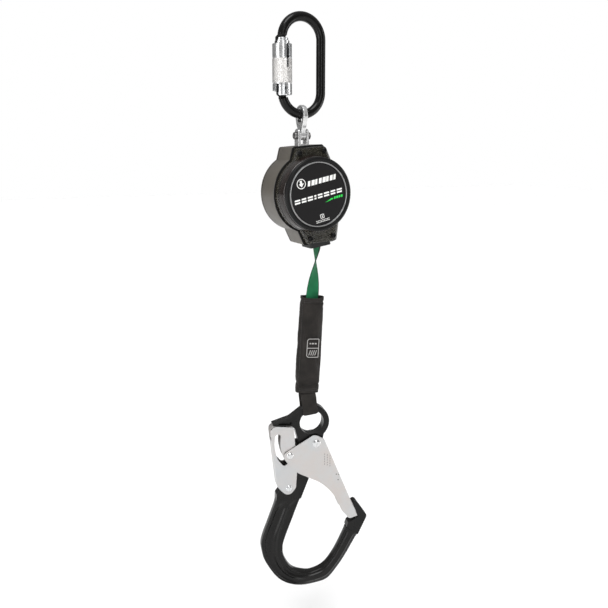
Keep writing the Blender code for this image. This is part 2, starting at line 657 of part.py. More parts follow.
def hook_outline():
    """Eye with its thumb rest, neck, open bowl and nose, anticlockwise from the right of the neck."""
    eye = arc(EYE_CENTRE, EYE_OUT, -46, 122, 14)
    thumb = [(-25.5, 5.4), (-46.8, -0.8, 0.6), (-46.2, -2.7, 0.6), (-24.0, -5.2), (-19.8, -8.0, 2.0)]
    neck = [(-15.6, -25.0), (-19.5, -46.0), (-26.0, -66.0), (-34.6, -79.5)]
    shoulder = [(-38.8, -87.0), (-42.8, -92.0, 1.5), (-43.2, -100.5)]
    bowl = smooth(((-43.2, -100.5), (-52.0, -124.5), (-61.8, -152.0), (-61.5, -166.0), (-57.3, -181.5),
                   (-43.0, -204.8), (-27.0, -216.5), (-9.6, -221.8), (8.5, -221.0), (22.4, -217.3),
                   (34.5, -204.0), (45.5, -188.0), (63.5, -156.5)), 2)[1:]
    nose = [(73.3, -134.2, 5.5), (59.5, -113.4, 3.0), (56.4, -112.2, 1.5), (53.4, -114.0, 1.0), (60.2, -130.4),
            (61.6, -133.6, 0.8), (48.6, -140.6, 1.5), (46.8, -146.5)]
    inside = smooth(((46.8, -146.5), (41.5, -158.5), (34.2, -173.8), (27.5, -185.2), (19.2, -195.4),
                     (9.0, -201.2), (-4.3, -203.0), (-22.5, -195.5), (-33.0, -178.5), (-35.0, -164.5),
                     (-32.6, -153.0), (-22.6, -126.5), (-2.8, -74.5)), 2)[1:]
    boss = [(-0.2, -47.0), *arc(PIVOT, 8.4, -110, -12, 6), (14.6, -23.6, 2.0)]
    return fillet([*eye, *thumb, *neck, *shoulder, *bowl, *nose, *inside, *boss])


def hook_body(parent):
    holes = [circle(EYE_IN, 28, EYE_CENTRE), circle(3.2, 12, PIVOT), circle(3.0, 12, LEVER_PIN)]
    body = prism("hook_body", hook_outline(), -HOOK_HALF, HOOK_HALF, "black_satin", holes, parent=parent)
    combine(body, rod("spring_seat", 6.4, 4.0, 9.0, None, centre=LEVER_PIN, parent=parent))


def hook_gate(parent):
    """Two cheeks joined by a web along the outer edge."""
    edge_top, edge_low = (19.8, -34.4), (59.0, -130.2)
    cheeks = fillet(((-34.2, -37.6, 5.0), (4.0, -16.2, 9.0), (15.4, -23.4, 6.0), edge_top, edge_low,
                     (48.6, -133.4, 4.0), (38.6, -120.8), (31.0, -103.4), (21.6, -90.2), (10.6, -79.9),
                     (-4.0, -71.5), (-16.4, -64.5), (-25.8, -55.9), (-33.8, -44.6, 3.0)), 5)
    holes = [circle(3.2, 12, PIVOT), circle(3.6, 12, LOCK)]
    axis = (PIVOT[0], 0, PIVOT[1])
    gate = prism("hook_gate", cheeks, -GATE_FAR, GATE_FAR, "zinc", holes, parent=parent, origin=axis)
    run = Vector(edge_low) - Vector(edge_top)
    inwards = Vector((run.y, -run.x)).normalized() * 1.5
    start, end = Vector(edge_top) + inwards - run * 0.5, Vector(edge_low) + inwards
    pocket = (tuple(start), tuple(end), (58.4, -150.0), (-60.0, -150.0), (-60.0, 40.0), (25.0, 40.0))
    above = ((12.0, 10.0), (40.0, 10.0), (40.0, -34.4), (12.0, -34.4))
    combine(gate, join_tools("gate_pocket", [prism("pocket", pocket, -GATE_NEAR, GATE_NEAR, None, parent=parent)]))
    combine(gate, prism("gate_throat", above, -GATE_NEAR, GATE_NEAR, None, parent=parent))
    ring = arc(PIVOT, 4.4, 250, -60, 14) + [(14.0, -44.0), (20.0, -58.0)]
    path = [(x, 7.15, z) for x, z in ring]
    wire("gate_spring", path, 0.6, 6, "steel", parent=parent, origin=axis)
    rivet("gate_lock_rivet", LOCK, 3.3, 4.2, GATE_FAR, parent, axis)
    rivet("gate_pivot_rivet", PIVOT, 2.9, 4.9, GATE_FAR, parent, axis)


def rivet(name, centre, shank, head, seat, parent, origin):
    """A shank between two headed ends; seat is the half-distance between the faces it clamps."""
    near, edge, crown = seat + GAP, seat + GAP + 0.7, seat + GAP + 1.4
    half = ((shank, near), (head, near), (head, edge), (head * 0.65, crown), (0, crown))
    profile = [(r, -y) for r, y in reversed(half)] + list(half)
    lathe(name, profile, 14, "chrome", centre=centre, parent=parent, origin=origin)


def turned(point, centre, degrees):
    """A point of the XZ plane after a turn about +Y, seen from -Y as clockwise."""
    moved = Matrix.Rotation(math.radians(degrees), 2) @ (Vector(point) - Vector(centre))
    return tuple(moved + Vector(centre))


def lever_slot():
    """The path of the lock rivet past the lever, as the gate opens and the lever follows."""
    path = []
    steps = 8
    for i in range(steps + 1):
        gate = GATE_SWING * i / steps
        path.append(turned(turned(LOCK, PIVOT, -gate), LEVER_PIN, gate * LEVER_SHARE))
    return band(path, 4.3, 5)


def lock_lever(parent):
    """Two cheeks joined by a web along the back, which the palm squeezes."""
    back_top, back_low = (-49.6, -12.0), (-42.2, -80.0)
    cheeks = fillet(((-44.4, -2.6, 6.0), (-21.6, -6.0, 3.5), (-17.8, -62.0), (-19.2, -84.0, 8.0),
                     (-28.2, -95.2, 7.0), (-37.6, -86.0, 5.0), back_low, back_top, (-49.6, -7.0, 4.0)), 4)
    axis = (LEVER_PIN[0], 0, LEVER_PIN[1])
    holes = [lever_slot(), circle(3.0, 12, LEVER_PIN)]
    lever = prism("lock_lever", cheeks, -LEVER_FAR, LEVER_FAR, "zinc", holes, parent=parent, origin=axis)
    run = Vector(back_low) - Vector(back_top)
    inwards = Vector((-run.y, run.x)).normalized() * 1.5
    web_top = Vector(back_top) + run * 0.15
    start, end = web_top + inwards, Vector(back_low) + inwards
    pocket = (tuple(start), (-60.0, web_top.y), (-60.0, 20.0), (20.0, 20.0), (20.0, -110.0), (-60.0, -110.0),
              (-60.0, -79.0), tuple(end))
    combine(lever, prism("lever_pocket", pocket, -LEVER_NEAR, LEVER_NEAR, None, parent=parent))
    rivet("lever_rivet", LEVER_PIN, 2.7, 4.1, LEVER_FAR, parent, axis)
    coil = [(x, y, z) for x, y, z in helix(4.4, 4.75, 0.5, 1.0, 12, LEVER_PIN)][:-1]
    wire("lever_spring", coil, 0.4, 6, "steel", parent=parent, origin=axis)


def scaffold_hook():
    frame = group("hook_frame", Matrix.Translation(HOOK_EYE) @ Matrix.Rotation(math.radians(YAW), 4, "Z"))
    hook_body(frame)
    hook_gate(frame)
    lock_lever(frame)


for old in list(bpy.data.objects):
    bpy.data.objects.remove(old)

FINISHES = {
    name: material(name, colour, roughness, metallic)
    for name, colour, roughness, metallic in (
        ("black_gloss", (0.012, 0.012, 0.013), 0.22, 0.0),
        ("black_satin", (0.02, 0.02, 0.021), 0.35, 0.3),
        ("black_plastic", (0.03, 0.03, 0.03), 0.5, 0.0),
        ("black_fabric", (0.02, 0.02, 0.02), 0.9, 0.0),
        ("rubber", (0.01, 0.01, 0.01), 0.7, 0.0),
        ("zinc", (0.62, 0.63, 0.62), 0.32, 1.0),
        ("steel", (0.5, 0.5, 0.5), 0.35, 1.0),
        ("chrome", (0.75, 0.75, 0.76), 0.12, 1.0),
        ("aluminium", (0.7, 0.71, 0.73), 0.3, 1.0),
        ("bronze", (0.16, 0.1, 0.07), 0.35, 1.0),
        ("smoke_rear", (0.25, 0.24, 0.22), 0.25, 0.0),
        ("smoke_front", (0.12, 0.11, 0.11), 0.2, 0.0),
        ("label", (0.03, 0.03, 0.032), 0.4, 0.0),
        ("green_web", (0.02, 0.3, 0.1), 0.8, 0.0),
    )
}

carabiner_body()
carabiner_gate()
carabiner_sleeve()
anchor_eye()
yoke()
HOUSING_PLACE = housing()
lifeline_webbing(HOUSING_PLACE)
absorber()
web_loop()
scaffold_hook()
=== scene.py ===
"""A self retracting lifeline: its finished surfaces, materials, light and camera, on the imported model.

Sizes are in millimetres unless a name ends in _m, and the mesh helpers turn them into metres.
"""

import math

import bmesh
import bpy
from mathutils import Matrix, Vector, noise
from mathutils.geometry import tessellate_polygon


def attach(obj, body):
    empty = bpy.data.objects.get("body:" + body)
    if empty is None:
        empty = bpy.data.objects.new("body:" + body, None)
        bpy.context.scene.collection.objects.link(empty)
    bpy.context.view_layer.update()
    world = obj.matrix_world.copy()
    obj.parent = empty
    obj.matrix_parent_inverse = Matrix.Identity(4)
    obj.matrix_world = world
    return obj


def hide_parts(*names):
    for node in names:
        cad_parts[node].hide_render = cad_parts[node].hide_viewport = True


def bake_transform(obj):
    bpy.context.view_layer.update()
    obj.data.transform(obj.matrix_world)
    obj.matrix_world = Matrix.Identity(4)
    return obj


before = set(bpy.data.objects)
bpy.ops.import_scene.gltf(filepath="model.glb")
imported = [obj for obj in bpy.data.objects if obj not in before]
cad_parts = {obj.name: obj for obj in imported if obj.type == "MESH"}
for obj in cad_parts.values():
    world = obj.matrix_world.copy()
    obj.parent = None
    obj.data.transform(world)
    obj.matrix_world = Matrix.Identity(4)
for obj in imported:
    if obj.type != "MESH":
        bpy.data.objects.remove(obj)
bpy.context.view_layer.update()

MM = 0.001
PHOTO_SIDE = 608  # pixels
FOCAL = 690.0  # pixels
FILM = 36.0
CAMERA_M = (-0.3566, -0.6904, -0.1326)
CAMERA_HEADING, CAMERA_DIP = 27.5, 12.6
FLOOR_M = -0.76
FLOOR_HALF = 9000.0

# Carabiner
BAR = 5.0
BOW, BOW_TOP, BOW_LOW = 23.25, -18.25, -71.75
GATE_X, GATE_R = -23.2, 6.5
GATE_TOP, GATE_PIN_Z, GATE_LOW = -18.0, -74.0, -77.0
SLEEVE_IN, SLEEVE_OUT = 8.3, 10.3
SLEEVE_TOP, SLEEVE_LOW = -24.0, -75.8

# Anchor eye and yoke
BOLT_Z = -117.7
BOLT_R = 2.45
YOKE_HALF, YOKE_INNER, YOKE_DEPTH = 6.4, 3.7, 5.2
ROLL_PIN_Z = -134.4

# Housing, about the drum's centre
ROLL = -8.3
PIN_ABOVE_DRUM = 46.0
SHELL_R, WALL, STEP, EAR_WALL = 44.0, 1.8, 1.6, 1.0
SEAM_Y, SHELL_BACK = -5.7, 29.0
EAR_FRONT, FRONT_RIM, FRONT_FACE = -15.0, -7.4, -24.6
SCREWS = ((-10.5, 45.8), (19.6, 44.4), (-10.5, -48.6), (18.3, -50.6))
DISC_FACE = -27.7
EXIT_X = 3.7

# Lifeline, absorber and loop
WEB_W, WEB_T = 17.0, 1.4
PACK_TOP, PACK_LOW = Vector((13.5, 0.0, -298.2)), Vector((6.4, 0.0, -413.6))
PACK_HALF_W, PACK_HALF_D = 14.25, 9.0
YAW = -14.0
LOOP_W, LOOP_T, LOOP_TOP_Z = 18.0, 2.0, 1.8

# Scaffold hook, about the point where it hangs in the web loop
HOOK_EYE = Vector((10.3, -1.0, -449.0))
HOOK_HALF = 6.0
EYE_CENTRE, EYE_IN, EYE_OUT = (0.8, -2.2), 14.7, 21.6
PIVOT, LOCK, LEVER_PIN = (5.8, -28.1), (-26.6, -40.8), (-27.8, -83.9)
LEVER_NEAR, LEVER_FAR = 6.4, 7.9
GATE_NEAR, GATE_FAR = 8.3, 9.8

HOUSING = (Matrix.Translation((0, 0, ROLL_PIN_Z)) @ Matrix.Rotation(math.radians(ROLL), 4, "Y")
           @ Matrix.Translation((0, 0, -PIN_ABOVE_DRUM)))
HOOK = Matrix.Translation(HOOK_EYE) @ Matrix.Rotation(math.radians(YAW), 4, "Z")
LEAN = math.atan2(PACK_TOP.x - PACK_LOW.x, PACK_TOP.z - PACK_LOW.z)
PACK = (Matrix.Translation(PACK_LOW) @ Matrix.Rotation(LEAN, 4, "Y")
        @ Matrix.Rotation(math.radians(YAW), 4, "Z"))
LABEL_PLACE = HOUSING @ Matrix.Rotation(math.radians(-4.0), 4, "Y")
WORLD = Matrix.Identity(4)


# ---- outlines ----

def polar(radius, degrees, centre=(0.0, 0.0)):
    angle = math.radians(degrees)
    return (centre[0] + radius * math.cos(angle), centre[1] + radius * math.sin(angle))


def arc(centre, radius, start, end, steps):
    return [polar(radius, start + (end - start) * i / steps, centre) for i in range(steps + 1)]


def circle(radius, steps, centre=(0.0, 0.0)):
    return arc(centre, radius, 0, 360, steps)[:-1]


def fillet(corners, steps=8):
    """A closed outline from corners (x, z) or (x, z, radius), the latter rounded."""
    points = []
    for i, corner in enumerate(corners):
        here = Vector(corner[:2])
        if len(corner) == 2:
            points.append(tuple(here))
            continue
        back = (Vector(corners[i - 1][:2]) - here).normalized()
        ahead = (Vector(corners[(i + 1) % len(corners)][:2]) - here).normalized()
        half = back.angle(ahead) / 2
        centre = here + (back + ahead).normalized() * corner[2] / math.sin(half)
        first = here + back * corner[2] / math.tan(half) - centre
        last = here + ahead * corner[2] / math.tan(half) - centre
        turn = first.angle_signed(last)
        for k in range(steps + 1):
            points.append(tuple(centre + Matrix.Rotation(-turn * k / steps, 2) @ first))
    return points


def smooth(knots, steps=8):
    """An open Catmull-Rom line through the knots, ends included."""
    ends = [Vector(k) for k in knots]
    padded = [2 * ends[0] - ends[1], *ends, 2 * ends[-1] - ends[-2]]
    points = []
    for a, b, c, d in zip(padded, padded[1:], padded[2:], padded[3:]):
        for k in range(steps):
            t = k / steps
            point = 2 * b + (c - a) * t + (2 * a - 5 * b + 4 * c - d) * t * t
            point += (3 * b - a - 3 * c + d) * t ** 3
            points.append(tuple(point / 2))
    return [*points, tuple(ends[-1])]


def superellipse(half_x, half_y, power, steps):
    ring = []
    for i in range(steps):
        c, s = polar(1.0, 360 * (i + 0.5) / steps)
        x = half_x * math.copysign(abs(c) ** (2 / power), c)
        y = half_y * math.copysign(abs(s) ** (2 / power), s)
        ring.append((x, y))
    return ring


def ease(value):
    value = min(max(value, 0.0), 1.0)
    return value * value * (3 - 2 * value)


# ---- meshes ----

def mesh_object(name, vertices, faces, materials, place=WORLD):
    mesh = bpy.data.meshes.new(name)
    mesh.from_pydata([place @ Vector(v) * MM for v in vertices], [], faces)
    for finish in materials:
        mesh.materials.append(finish)
    work = bmesh.new()
    work.from_mesh(mesh)
    bmesh.ops.recalc_face_normals(work, faces=work.faces)
    work.to_mesh(mesh)
    work.free()
    made = bpy.data.objects.new(name, mesh)
    bpy.context.scene.collection.objects.link(made)
    return made


def lift(plane, point, height):
    a, b = point
    return {"XZ": (a, height, b), "YZ": (height, a, b), "XY": (a, b, height)}[plane]


def prism(name, outline, low, high, materials=(), holes=(), plane="XZ", place=WORLD):
    loops = [list(outline), *[list(hole) for hole in holes]]
    flat = [point for loop in loops for point in loop]
    count = len(flat)
    vertices = [lift(plane, point, height) for height in (low, high) for point in flat]
    if len(loops) == 1:
        faces = [tuple(range(count)), tuple(range(2 * count - 1, count - 1, -1))]
    else:
        caps = tessellate_polygon([[Vector((x, z, 0)) for x, z in loop] for loop in loops])
        faces = [tuple(c) for c in caps] + [tuple(i + count for i in reversed(c)) for c in caps]
    first = 0
    for loop in loops:
        for i in range(len(loop)):
            a, b = first + i, first + (i + 1) % len(loop)
            faces.append((a, b, b + count, a + count))
        first += len(loop)
    return mesh_object(name, vertices, faces, materials, place)


def loft(name, rings, materials=(), closed=False, place=WORLD):
    size = len(rings[0])
    vertices = [point for ring in rings for point in ring]
    faces = []
    for r in range(len(rings) if closed else len(rings) - 1):
        near, far = r * size, (r + 1) % len(rings) * size
        for i in range(size):
            j = (i + 1) % size
            faces.append((near + i, near + j, far + j, far + i))
    if not closed:
        faces.append(tuple(range(size)))
        faces.append(tuple(range(len(vertices) - size, len(vertices))))
    return mesh_object(name, vertices, faces, materials, place)


def lathe(name, profile, materials=(), axis="Y", centre=(0.0, 0.0), steps=64, place=WORLD):
    """A profile of (radius, height) turned about an axis; a zero radius is a pole."""
    vertices, rings = [], []
    for radius, height in profile:
        turned = circle(radius, steps, centre) if radius else [centre]
        rings.append(range(len(vertices), len(vertices) + len(turned)))
        for a, b in turned:
            vertices.append({"Y": (a, height, b), "X": (height, a, b), "Z": (a, b, height)}[axis])
    faces = []
    for k, near in enumerate(rings):
        far = rings[(k + 1) % len(rings)]
        for i in range(steps):
            j = (i + 1) % steps
            corners = [near[i % len(near)], near[j % len(near)], far[j % len(far)], far[i % len(far)]]
            unique = list(dict.fromkeys(corners))
            if len(unique) > 2:
                faces.append(tuple(unique))
    return mesh_object(name, vertices, faces, materials, place)


def wire(name, path, radius, materials=(), sides=12, place=WORLD):
    points = [Vector(p) for p in path]
    rings = []
    normal = (points[1] - points[0]).orthogonal().normalized()
    for i, point in enumerate(points):
        along = (points[min(i + 1, len(points) - 1)] - points[max(i - 1, 0)]).normalized()
        normal = (normal - along * normal.dot(along)).normalized()
        side = along.cross(normal)
        rings.append([point + normal * a + side * b for a, b in circle(radius, sides)])
    return loft(name, rings, materials, place=place)


def rod(name, radius, low, high, axis="Y", centre=(0.0, 0.0), place=WORLD):
    profile = ((0, low), (radius, low), (radius, high), (0, high))
    return lathe(name, profile, axis=axis, centre=centre, steps=32, place=place)


def block(name, low, high, place=WORLD):
    outline = ((low[0], low[2]), (high[0], low[2]), (high[0], high[2]), (low[0], high[2]))
    return prism(name, outline, low[1], high[1], place=place)


def carve(target, tools, operation="DIFFERENCE"):
    """Applies one Boolean for each tool and removes the tools."""
    for tool in tools:
        step = target.modifiers.new("Carve", "BOOLEAN")
        step.operation = operation
        step.solver = "EXACT"
        step.object = tool
        bake(target)
        bpy.data.objects.remove(tool)
    return target


def bake(target):
    """Applies the object's modifiers."""
    solid = bpy.data.meshes.new_from_object(target.evaluated_get(bpy.context.evaluated_depsgraph_get()))
    target.modifiers.clear()
    target.data = solid


def soften(target, width, segments=3, edge_material=-1, angle=32):
    """Rounds the edges and shades the faces smooth between them."""
    weld = target.modifiers.new("Weld", "WELD")
    weld.merge_threshold = 0.00001
    flat = target.modifiers.new("Flats", "DECIMATE")
    flat.decimate_type = "DISSOLVE"
    flat.angle_limit = math.radians(0.4)
    bevel = target.modifiers.new("Edges", "BEVEL")
    bevel.width = width * MM
    bevel.segments = segments
    bevel.limit_method = "ANGLE"
    bevel.angle_limit = math.radians(angle)
    bevel.harden_normals = False
    bevel.material = edge_material
    bevel.use_clamp_overlap = True
    shade(target)
    weighted = target.modifiers.new("Shading", "WEIGHTED_NORMAL")
    weighted.keep_sharp = True
    weighted.weight = 60
    return target


def shade(target):
    target.data.polygons.foreach_set("use_smooth", [True] * len(target.data.polygons))
    return target


def shade_by_angle(target, degrees=40):
    shade(target)
    target.data.set_sharp_from_angle(angle=math.radians(degrees))
    return target


def fit(target, body, *nodes):
    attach(target, body)
    if nodes:
        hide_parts(*nodes)
    return target


# ---- materials ----

class Nodes:
    """A material's node tree, with short calls for the nodes used here."""

    def __init__(self, name):
        self.material = bpy.data.materials.new(name)
        self.material.use_nodes = True
        self.tree = self.material.node_tree
        self.shader = self.tree.nodes["Principled BSDF"]
        self.place = self.add("ShaderNodeTexCoord").outputs["Object"]

    def feed(self, socket, value):
        """Links another node's output to the socket, or gives the socket a value of its own."""
        if isinstance(value, bpy.types.NodeSocket):
            self.tree.links.new(value, socket)
        else:
            socket.default_value = value

    def add(self, kind, values=(), **settings):
        node = self.tree.nodes.new(kind)
        for key, value in settings.items():
            setattr(node, key, value)
        for socket, value in dict(values).items():
            self.feed(node.inputs[socket], value)
        return node

    def noise(self, scale, detail=3.0, roughness=0.5, stretch=(1, 1, 1)):
        mapped = self.add("ShaderNodeMapping", {"Vector": self.place, "Scale": stretch})
        values = {"Vector": mapped.outputs[0], "Scale": scale, "Detail": detail, "Roughness": roughness}
        return self.add("ShaderNodeTexNoise", values).outputs["Fac"]

    def math(self, operation, first, second=0.0):
        return self.add("ShaderNodeMath", {0: first, 1: second}, operation=operation).outputs[0]

    def remap(self, value, low, high, to_low, to_high):
        values = {0: value, 1: low, 2: high, 3: to_low, 4: to_high}
        return self.add("ShaderNodeMapRange", values).outputs[0]

    def mix(self, share, first, second):
        return self.add("ShaderNodeMix", {0: share, 6: first, 7: second}, data_type="RGBA").outputs[2]

    def bump(self, height, strength, distance_mm):
        values = {"Height": height, "Strength": strength, "Distance": distance_mm * MM}
        return self.add("ShaderNodeBump", values).outputs[0]

    def set(self, **values):
        """Shader sockets by name, with _ for a space."""
        for key, value in values.items():
            self.feed(self.shader.inputs[key.replace("_", " ")], value)
        return self.material


def grey(level, warmth=0.0):
    return (level * (1 + warmth), level, level * (1 - warmth), 1.0)


def coated_metal(name, level, roughness, coat, specular):
    """Black powder or electro-coat: fine orange peel, and a little dust that lifts the black."""
    n = Nodes(name)
    cloud = n.noise(90, 4)
    peel = n.noise(1400, 2)
    colour = n.mix(n.remap(cloud, 0.35, 0.75, 0, 1), grey(level * 0.8, 0.04), grey(level * 1.5, 0.06))
    rough = n.remap(cloud, 0.3, 0.7, roughness * 0.8, roughness * 1.25)
    return n.set(Base_Color=colour, Roughness=rough, Normal=n.bump(peel, 0.12, 0.05), Coat_Weight=coat,
                 Coat_Roughness=0.12, Specular_IOR_Level=specular)


def plated_steel(name, level, roughness, brush=0.0, tint=0.5):
    """Bright zinc plate: slightly mottled, with faint warm and cool passivation."""
    n = Nodes(name)
    cloud = n.noise(42, 4, 0.6)
    fine = n.noise(700, 3, 0.6)
    streak = n.noise(160, 3, 0.6, (1, 1, 9))
    warm_grey = (level * 1.03, level * 0.965, level * 0.93, 1)
    warm = n.mix(n.remap(cloud, 0.38, 0.66, 0, tint), grey(level), warm_grey)
    colour = n.mix(n.remap(n.noise(19, 2), 0.5, 0.72, 0, 0.5), warm, (level * 0.9, level * 0.96, level, 1))
    speckle = n.math("ADD", n.remap(fine, 0.3, 0.7, -0.05, 0.07), n.remap(streak, 0.3, 0.7, -brush, brush))
    rough = n.math("ADD", speckle, roughness)
    return n.set(Base_Color=colour, Metallic=1.0, Roughness=rough, Normal=n.bump(fine, 0.1, 0.03))


def knurled_steel():
    """The same plate with a diamond knurl on the sleeve's middle band, with painted shade darkening the
    knurl's grooves.
    """
    n = Nodes("zinc_knurled")
    parts = n.add("ShaderNodeSeparateXYZ", {0: n.place})
    x, y, z = parts.outputs
    across = n.math("SUBTRACT", x, GATE_X * MM)
    angle = n.math("ARCTAN2", y, across)
    turns = n.math("MULTIPLY", angle, 22.0)
    rise = n.math("MULTIPLY", z, 2200.0)
    left = n.math("SINE", n.math("ADD", turns, rise))
    right = n.math("SINE", n.math("SUBTRACT", turns, rise))
    diamonds = n.math("MULTIPLY", n.math("ABSOLUTE", left), n.math("ABSOLUTE", right))
    fine = n.noise(600, 3)
    # painted shade: the colour goes darker where the knurl's height is low, in its grooves
    colour = n.mix(n.remap(diamonds, 0.0, 0.5, 0, 1), grey(0.4, 0.03), grey(0.72, 0.02))
    return n.set(Base_Color=colour, Metallic=1.0, Roughness=n.remap(fine, 0.3, 0.7, 0.3, 0.45),
                 Normal=n.bump(diamonds, 0.9, 0.25))


def smoke_plastic(name, colour, alpha, roughness, coat):
    """Tinted, see-through polycarbonate with moulding flow marks."""
    n = Nodes(name)
    flow = n.noise(22, 3, 0.5, (1, 0.4, 1))
    fine = n.noise(800, 2)
    dark = tuple(c * 0.72 for c in colour) + (1.0,)
    light = tuple(c * 1.25 for c in colour) + (1.0,)
    see = n.remap(flow, 0.3, 0.7, alpha - 0.04, alpha + 0.04)
    rough = n.remap(flow, 0.3, 0.7, roughness, roughness + 0.1)
    return n.set(Base_Color=n.mix(flow, dark, light), Roughness=rough,
                 Alpha=see, Normal=n.bump(fine, 0.05, 0.02), Coat_Weight=coat, Coat_Roughness=0.08)


def moulded(name, level, roughness):
    n = Nodes(name)
    grain = n.noise(900, 3)
    cloud = n.noise(60, 3)
    colour = n.mix(cloud, grey(level * 0.8), grey(level * 1.3))
    return n.set(Base_Color=colour, Roughness=n.remap(grain, 0.3, 0.7, roughness - 0.06, roughness + 0.08),
                 Normal=n.bump(grain, 0.2, 0.04), Specular_IOR_Level=0.16)


def printed(name, colour, roughness=0.45):
    """Ink or label film, with a fine leather-like grain."""
    n = Nodes(name)
    grain = n.noise(1100, 2)
    cloud = n.noise(35, 3)
    darker = tuple(c * 0.82 for c in colour) + (1.0,)
    lighter = tuple(min(c * 1.12, 1.0) for c in colour) + (1.0,)
    rough = n.remap(grain, 0.3, 0.7, roughness, roughness + 0.15)
    return n.set(Base_Color=n.mix(cloud, darker, lighter), Roughness=rough,
                 Normal=n.bump(grain, 0.15, 0.03), Specular_IOR_Level=0.18)


def woven(name, dark, light, pitch_mm, sheen, axes=("X", "Z")):
    """Cloth or webbing: an over-and-under weave along two axes of the row frame, with painted shade
    darkening the weave's hollows.
    """
    n = Nodes(name)
    parts = n.add("ShaderNodeSeparateXYZ", {0: n.place})
    step = 2 * math.pi / (pitch_mm * MM)
    waves = [n.math("SINE", n.math("MULTIPLY", parts.outputs[axis], step)) for axis in axes]
    weave = n.math("MULTIPLY", waves[0], waves[1])
    fuzz = n.noise(1500, 3, 0.6)
    cloud = n.noise(70, 3)
    height = n.math("ADD", n.math("MULTIPLY", weave, 0.6), fuzz)
    # painted shade: the colour darkens where the weave's height is low; the fuzz and cloud add random tone
    share = n.math("ADD", n.remap(height, 0.0, 1.4, 0, 0.75), n.remap(cloud, 0.3, 0.7, -0.12, 0.2))
    colour = n.mix(share, (*dark, 1.0), (*light, 1.0))
    return n.set(Base_Color=colour, Roughness=n.remap(fuzz, 0.3, 0.7, 0.78, 0.95), Sheen_Weight=sheen,
                 Sheen_Roughness=0.45, Normal=n.bump(height, 0.5, 0.18), Specular_IOR_Level=0.25)


BLACK_COAT = coated_metal("black_gloss_coat", 0.003, 0.2, 0.0, 0.2)
FORGING = coated_metal("black_forging", 0.004, 0.26, 0.0, 0.2)
ZINC = plated_steel("zinc_plate", 0.5, 0.34, 0.03, 1.0)
ZINC_BRIGHT = plated_steel("zinc_bright", 0.68, 0.3, 0.05, 0.2)
KNURL = knurled_steel()
STEEL = plated_steel("bare_steel", 0.5, 0.34, 0.08, 0.2)
DARK_STEEL = plated_steel("dark_steel", 0.09, 0.4, 0.05, 0.2)
CHROME = plated_steel("polished_rivet", 0.62, 0.2, 0.02, 0.1)
BRONZE = plated_steel("dark_bronze", 0.2, 0.34, 0.04, 1.0)
SILVER_RING = plated_steel("silver_ring", 0.36, 0.3, 0.0, 0.0)
SMOKE_REAR = smoke_plastic("smoke_rear", (0.092, 0.082, 0.068), 0.93, 0.38, 0.0)
SMOKE_FRONT = smoke_plastic("smoke_front", (0.014, 0.0095, 0.008), 0.9, 0.14, 0.1)
SMOKE_EAR = smoke_plastic("smoke_ear", (0.04, 0.037, 0.027), 0.45, 0.1, 0.15)
# painted shade: a near-black smoke for the shells' rims, chamfers and groove, standing in for the dark
# outline light gives at the plastic's thick edges
SMOKE_EDGE_SHADE = smoke_plastic("smoke_edge_painted_shade", (0.008, 0.007, 0.006), 0.95, 0.18, 0.2)
BEZEL = moulded("bezel_plastic", 0.006, 0.3)
BLACK_PLASTIC = moulded("black_plastic", 0.02, 0.45)
GASKET = moulded("gasket_rubber", 0.006, 0.55)
LABEL = printed("label_film", (0.006, 0.0055, 0.006))
WHITE_INK = printed("white_ink", (0.82, 0.82, 0.8))
GREY_INK = printed("grey_ink", (0.4, 0.39, 0.38))
GREEN_INK = printed("green_ink", (0.03, 0.62, 0.08))
GREEN_WEB = woven("green_webbing", (0.002, 0.07, 0.025), (0.015, 0.24, 0.09), 1.1, 0.08, ("Y", "Z"))
SELVEDGE = woven("selvedge", (0.002, 0.01, 0.006), (0.006, 0.035, 0.02), 1.0, 0.2, ("Y", "Z"))
BLACK_CLOTH = woven("black_cordura", (0.003, 0.0026, 0.0024), (0.04, 0.034, 0.03), 0.9, 0.06)
BLACK_WEB = woven("black_webbing", (0.004, 0.0034, 0.003), (0.04, 0.035, 0.031), 1.4, 0.05)
THREAD = woven("stitch_thread", (0.02, 0.02, 0.02), (0.09, 0.088, 0.085), 0.5, 0.2)


# ---- carabiner ----

def bar_ring(x, z, heading, half_flat, half_y, power=2.0, steps=36):
    out_x, out_z = polar(1.0, heading - 90)
    return [(x + out_x * a, b, z + out_z * a) for a, b in superellipse(half_flat, half_y, power, steps)]


def carabiner_body():
    rings = [bar_ring(-25.2, z, 90, 5.2 - cut, 2.6 - cut, 5)
             for z, cut in ((-22.6, 0.5), (-22.1, 0), (-17.5, 0))]
    nose_end, hinge_end = 172.0, 198.2
    bends = ((0, BOW_TOP, nose_end, 0.0, 44), (0, BOW_LOW, 0.0, -(360 - hinge_end), 44))
    x, z = polar(BOW, nose_end, (0, BOW_TOP))
    rings += [bar_ring(x, z, nose_end - 90, BAR * s, BAR * s) for s in (0.9, 0.97)]
    for cx, cz, start, end, steps in bends:
        for i in range(steps + 1):
            angle = start + (end - start) * (i + 0.35 * (i == 0)) / steps
            x, z = polar(BOW, angle, (cx, cz))
            rings.append(bar_ring(x, z, angle - 90, BAR, BAR))
    rings += [bar_ring(x, z, hinge_end - 270, BAR * s, BAR * s) for s in (0.97, 0.9)]
    rings += [bar_ring(GATE_X, z, 90, 4.0, 2.2, 5) for z in (-80.0, -70.0)]
    body = loft("carabiner_bar", rings, [BLACK_COAT])
    fit(shade_by_angle(body, 50), "carabiner", "carabiner_body")


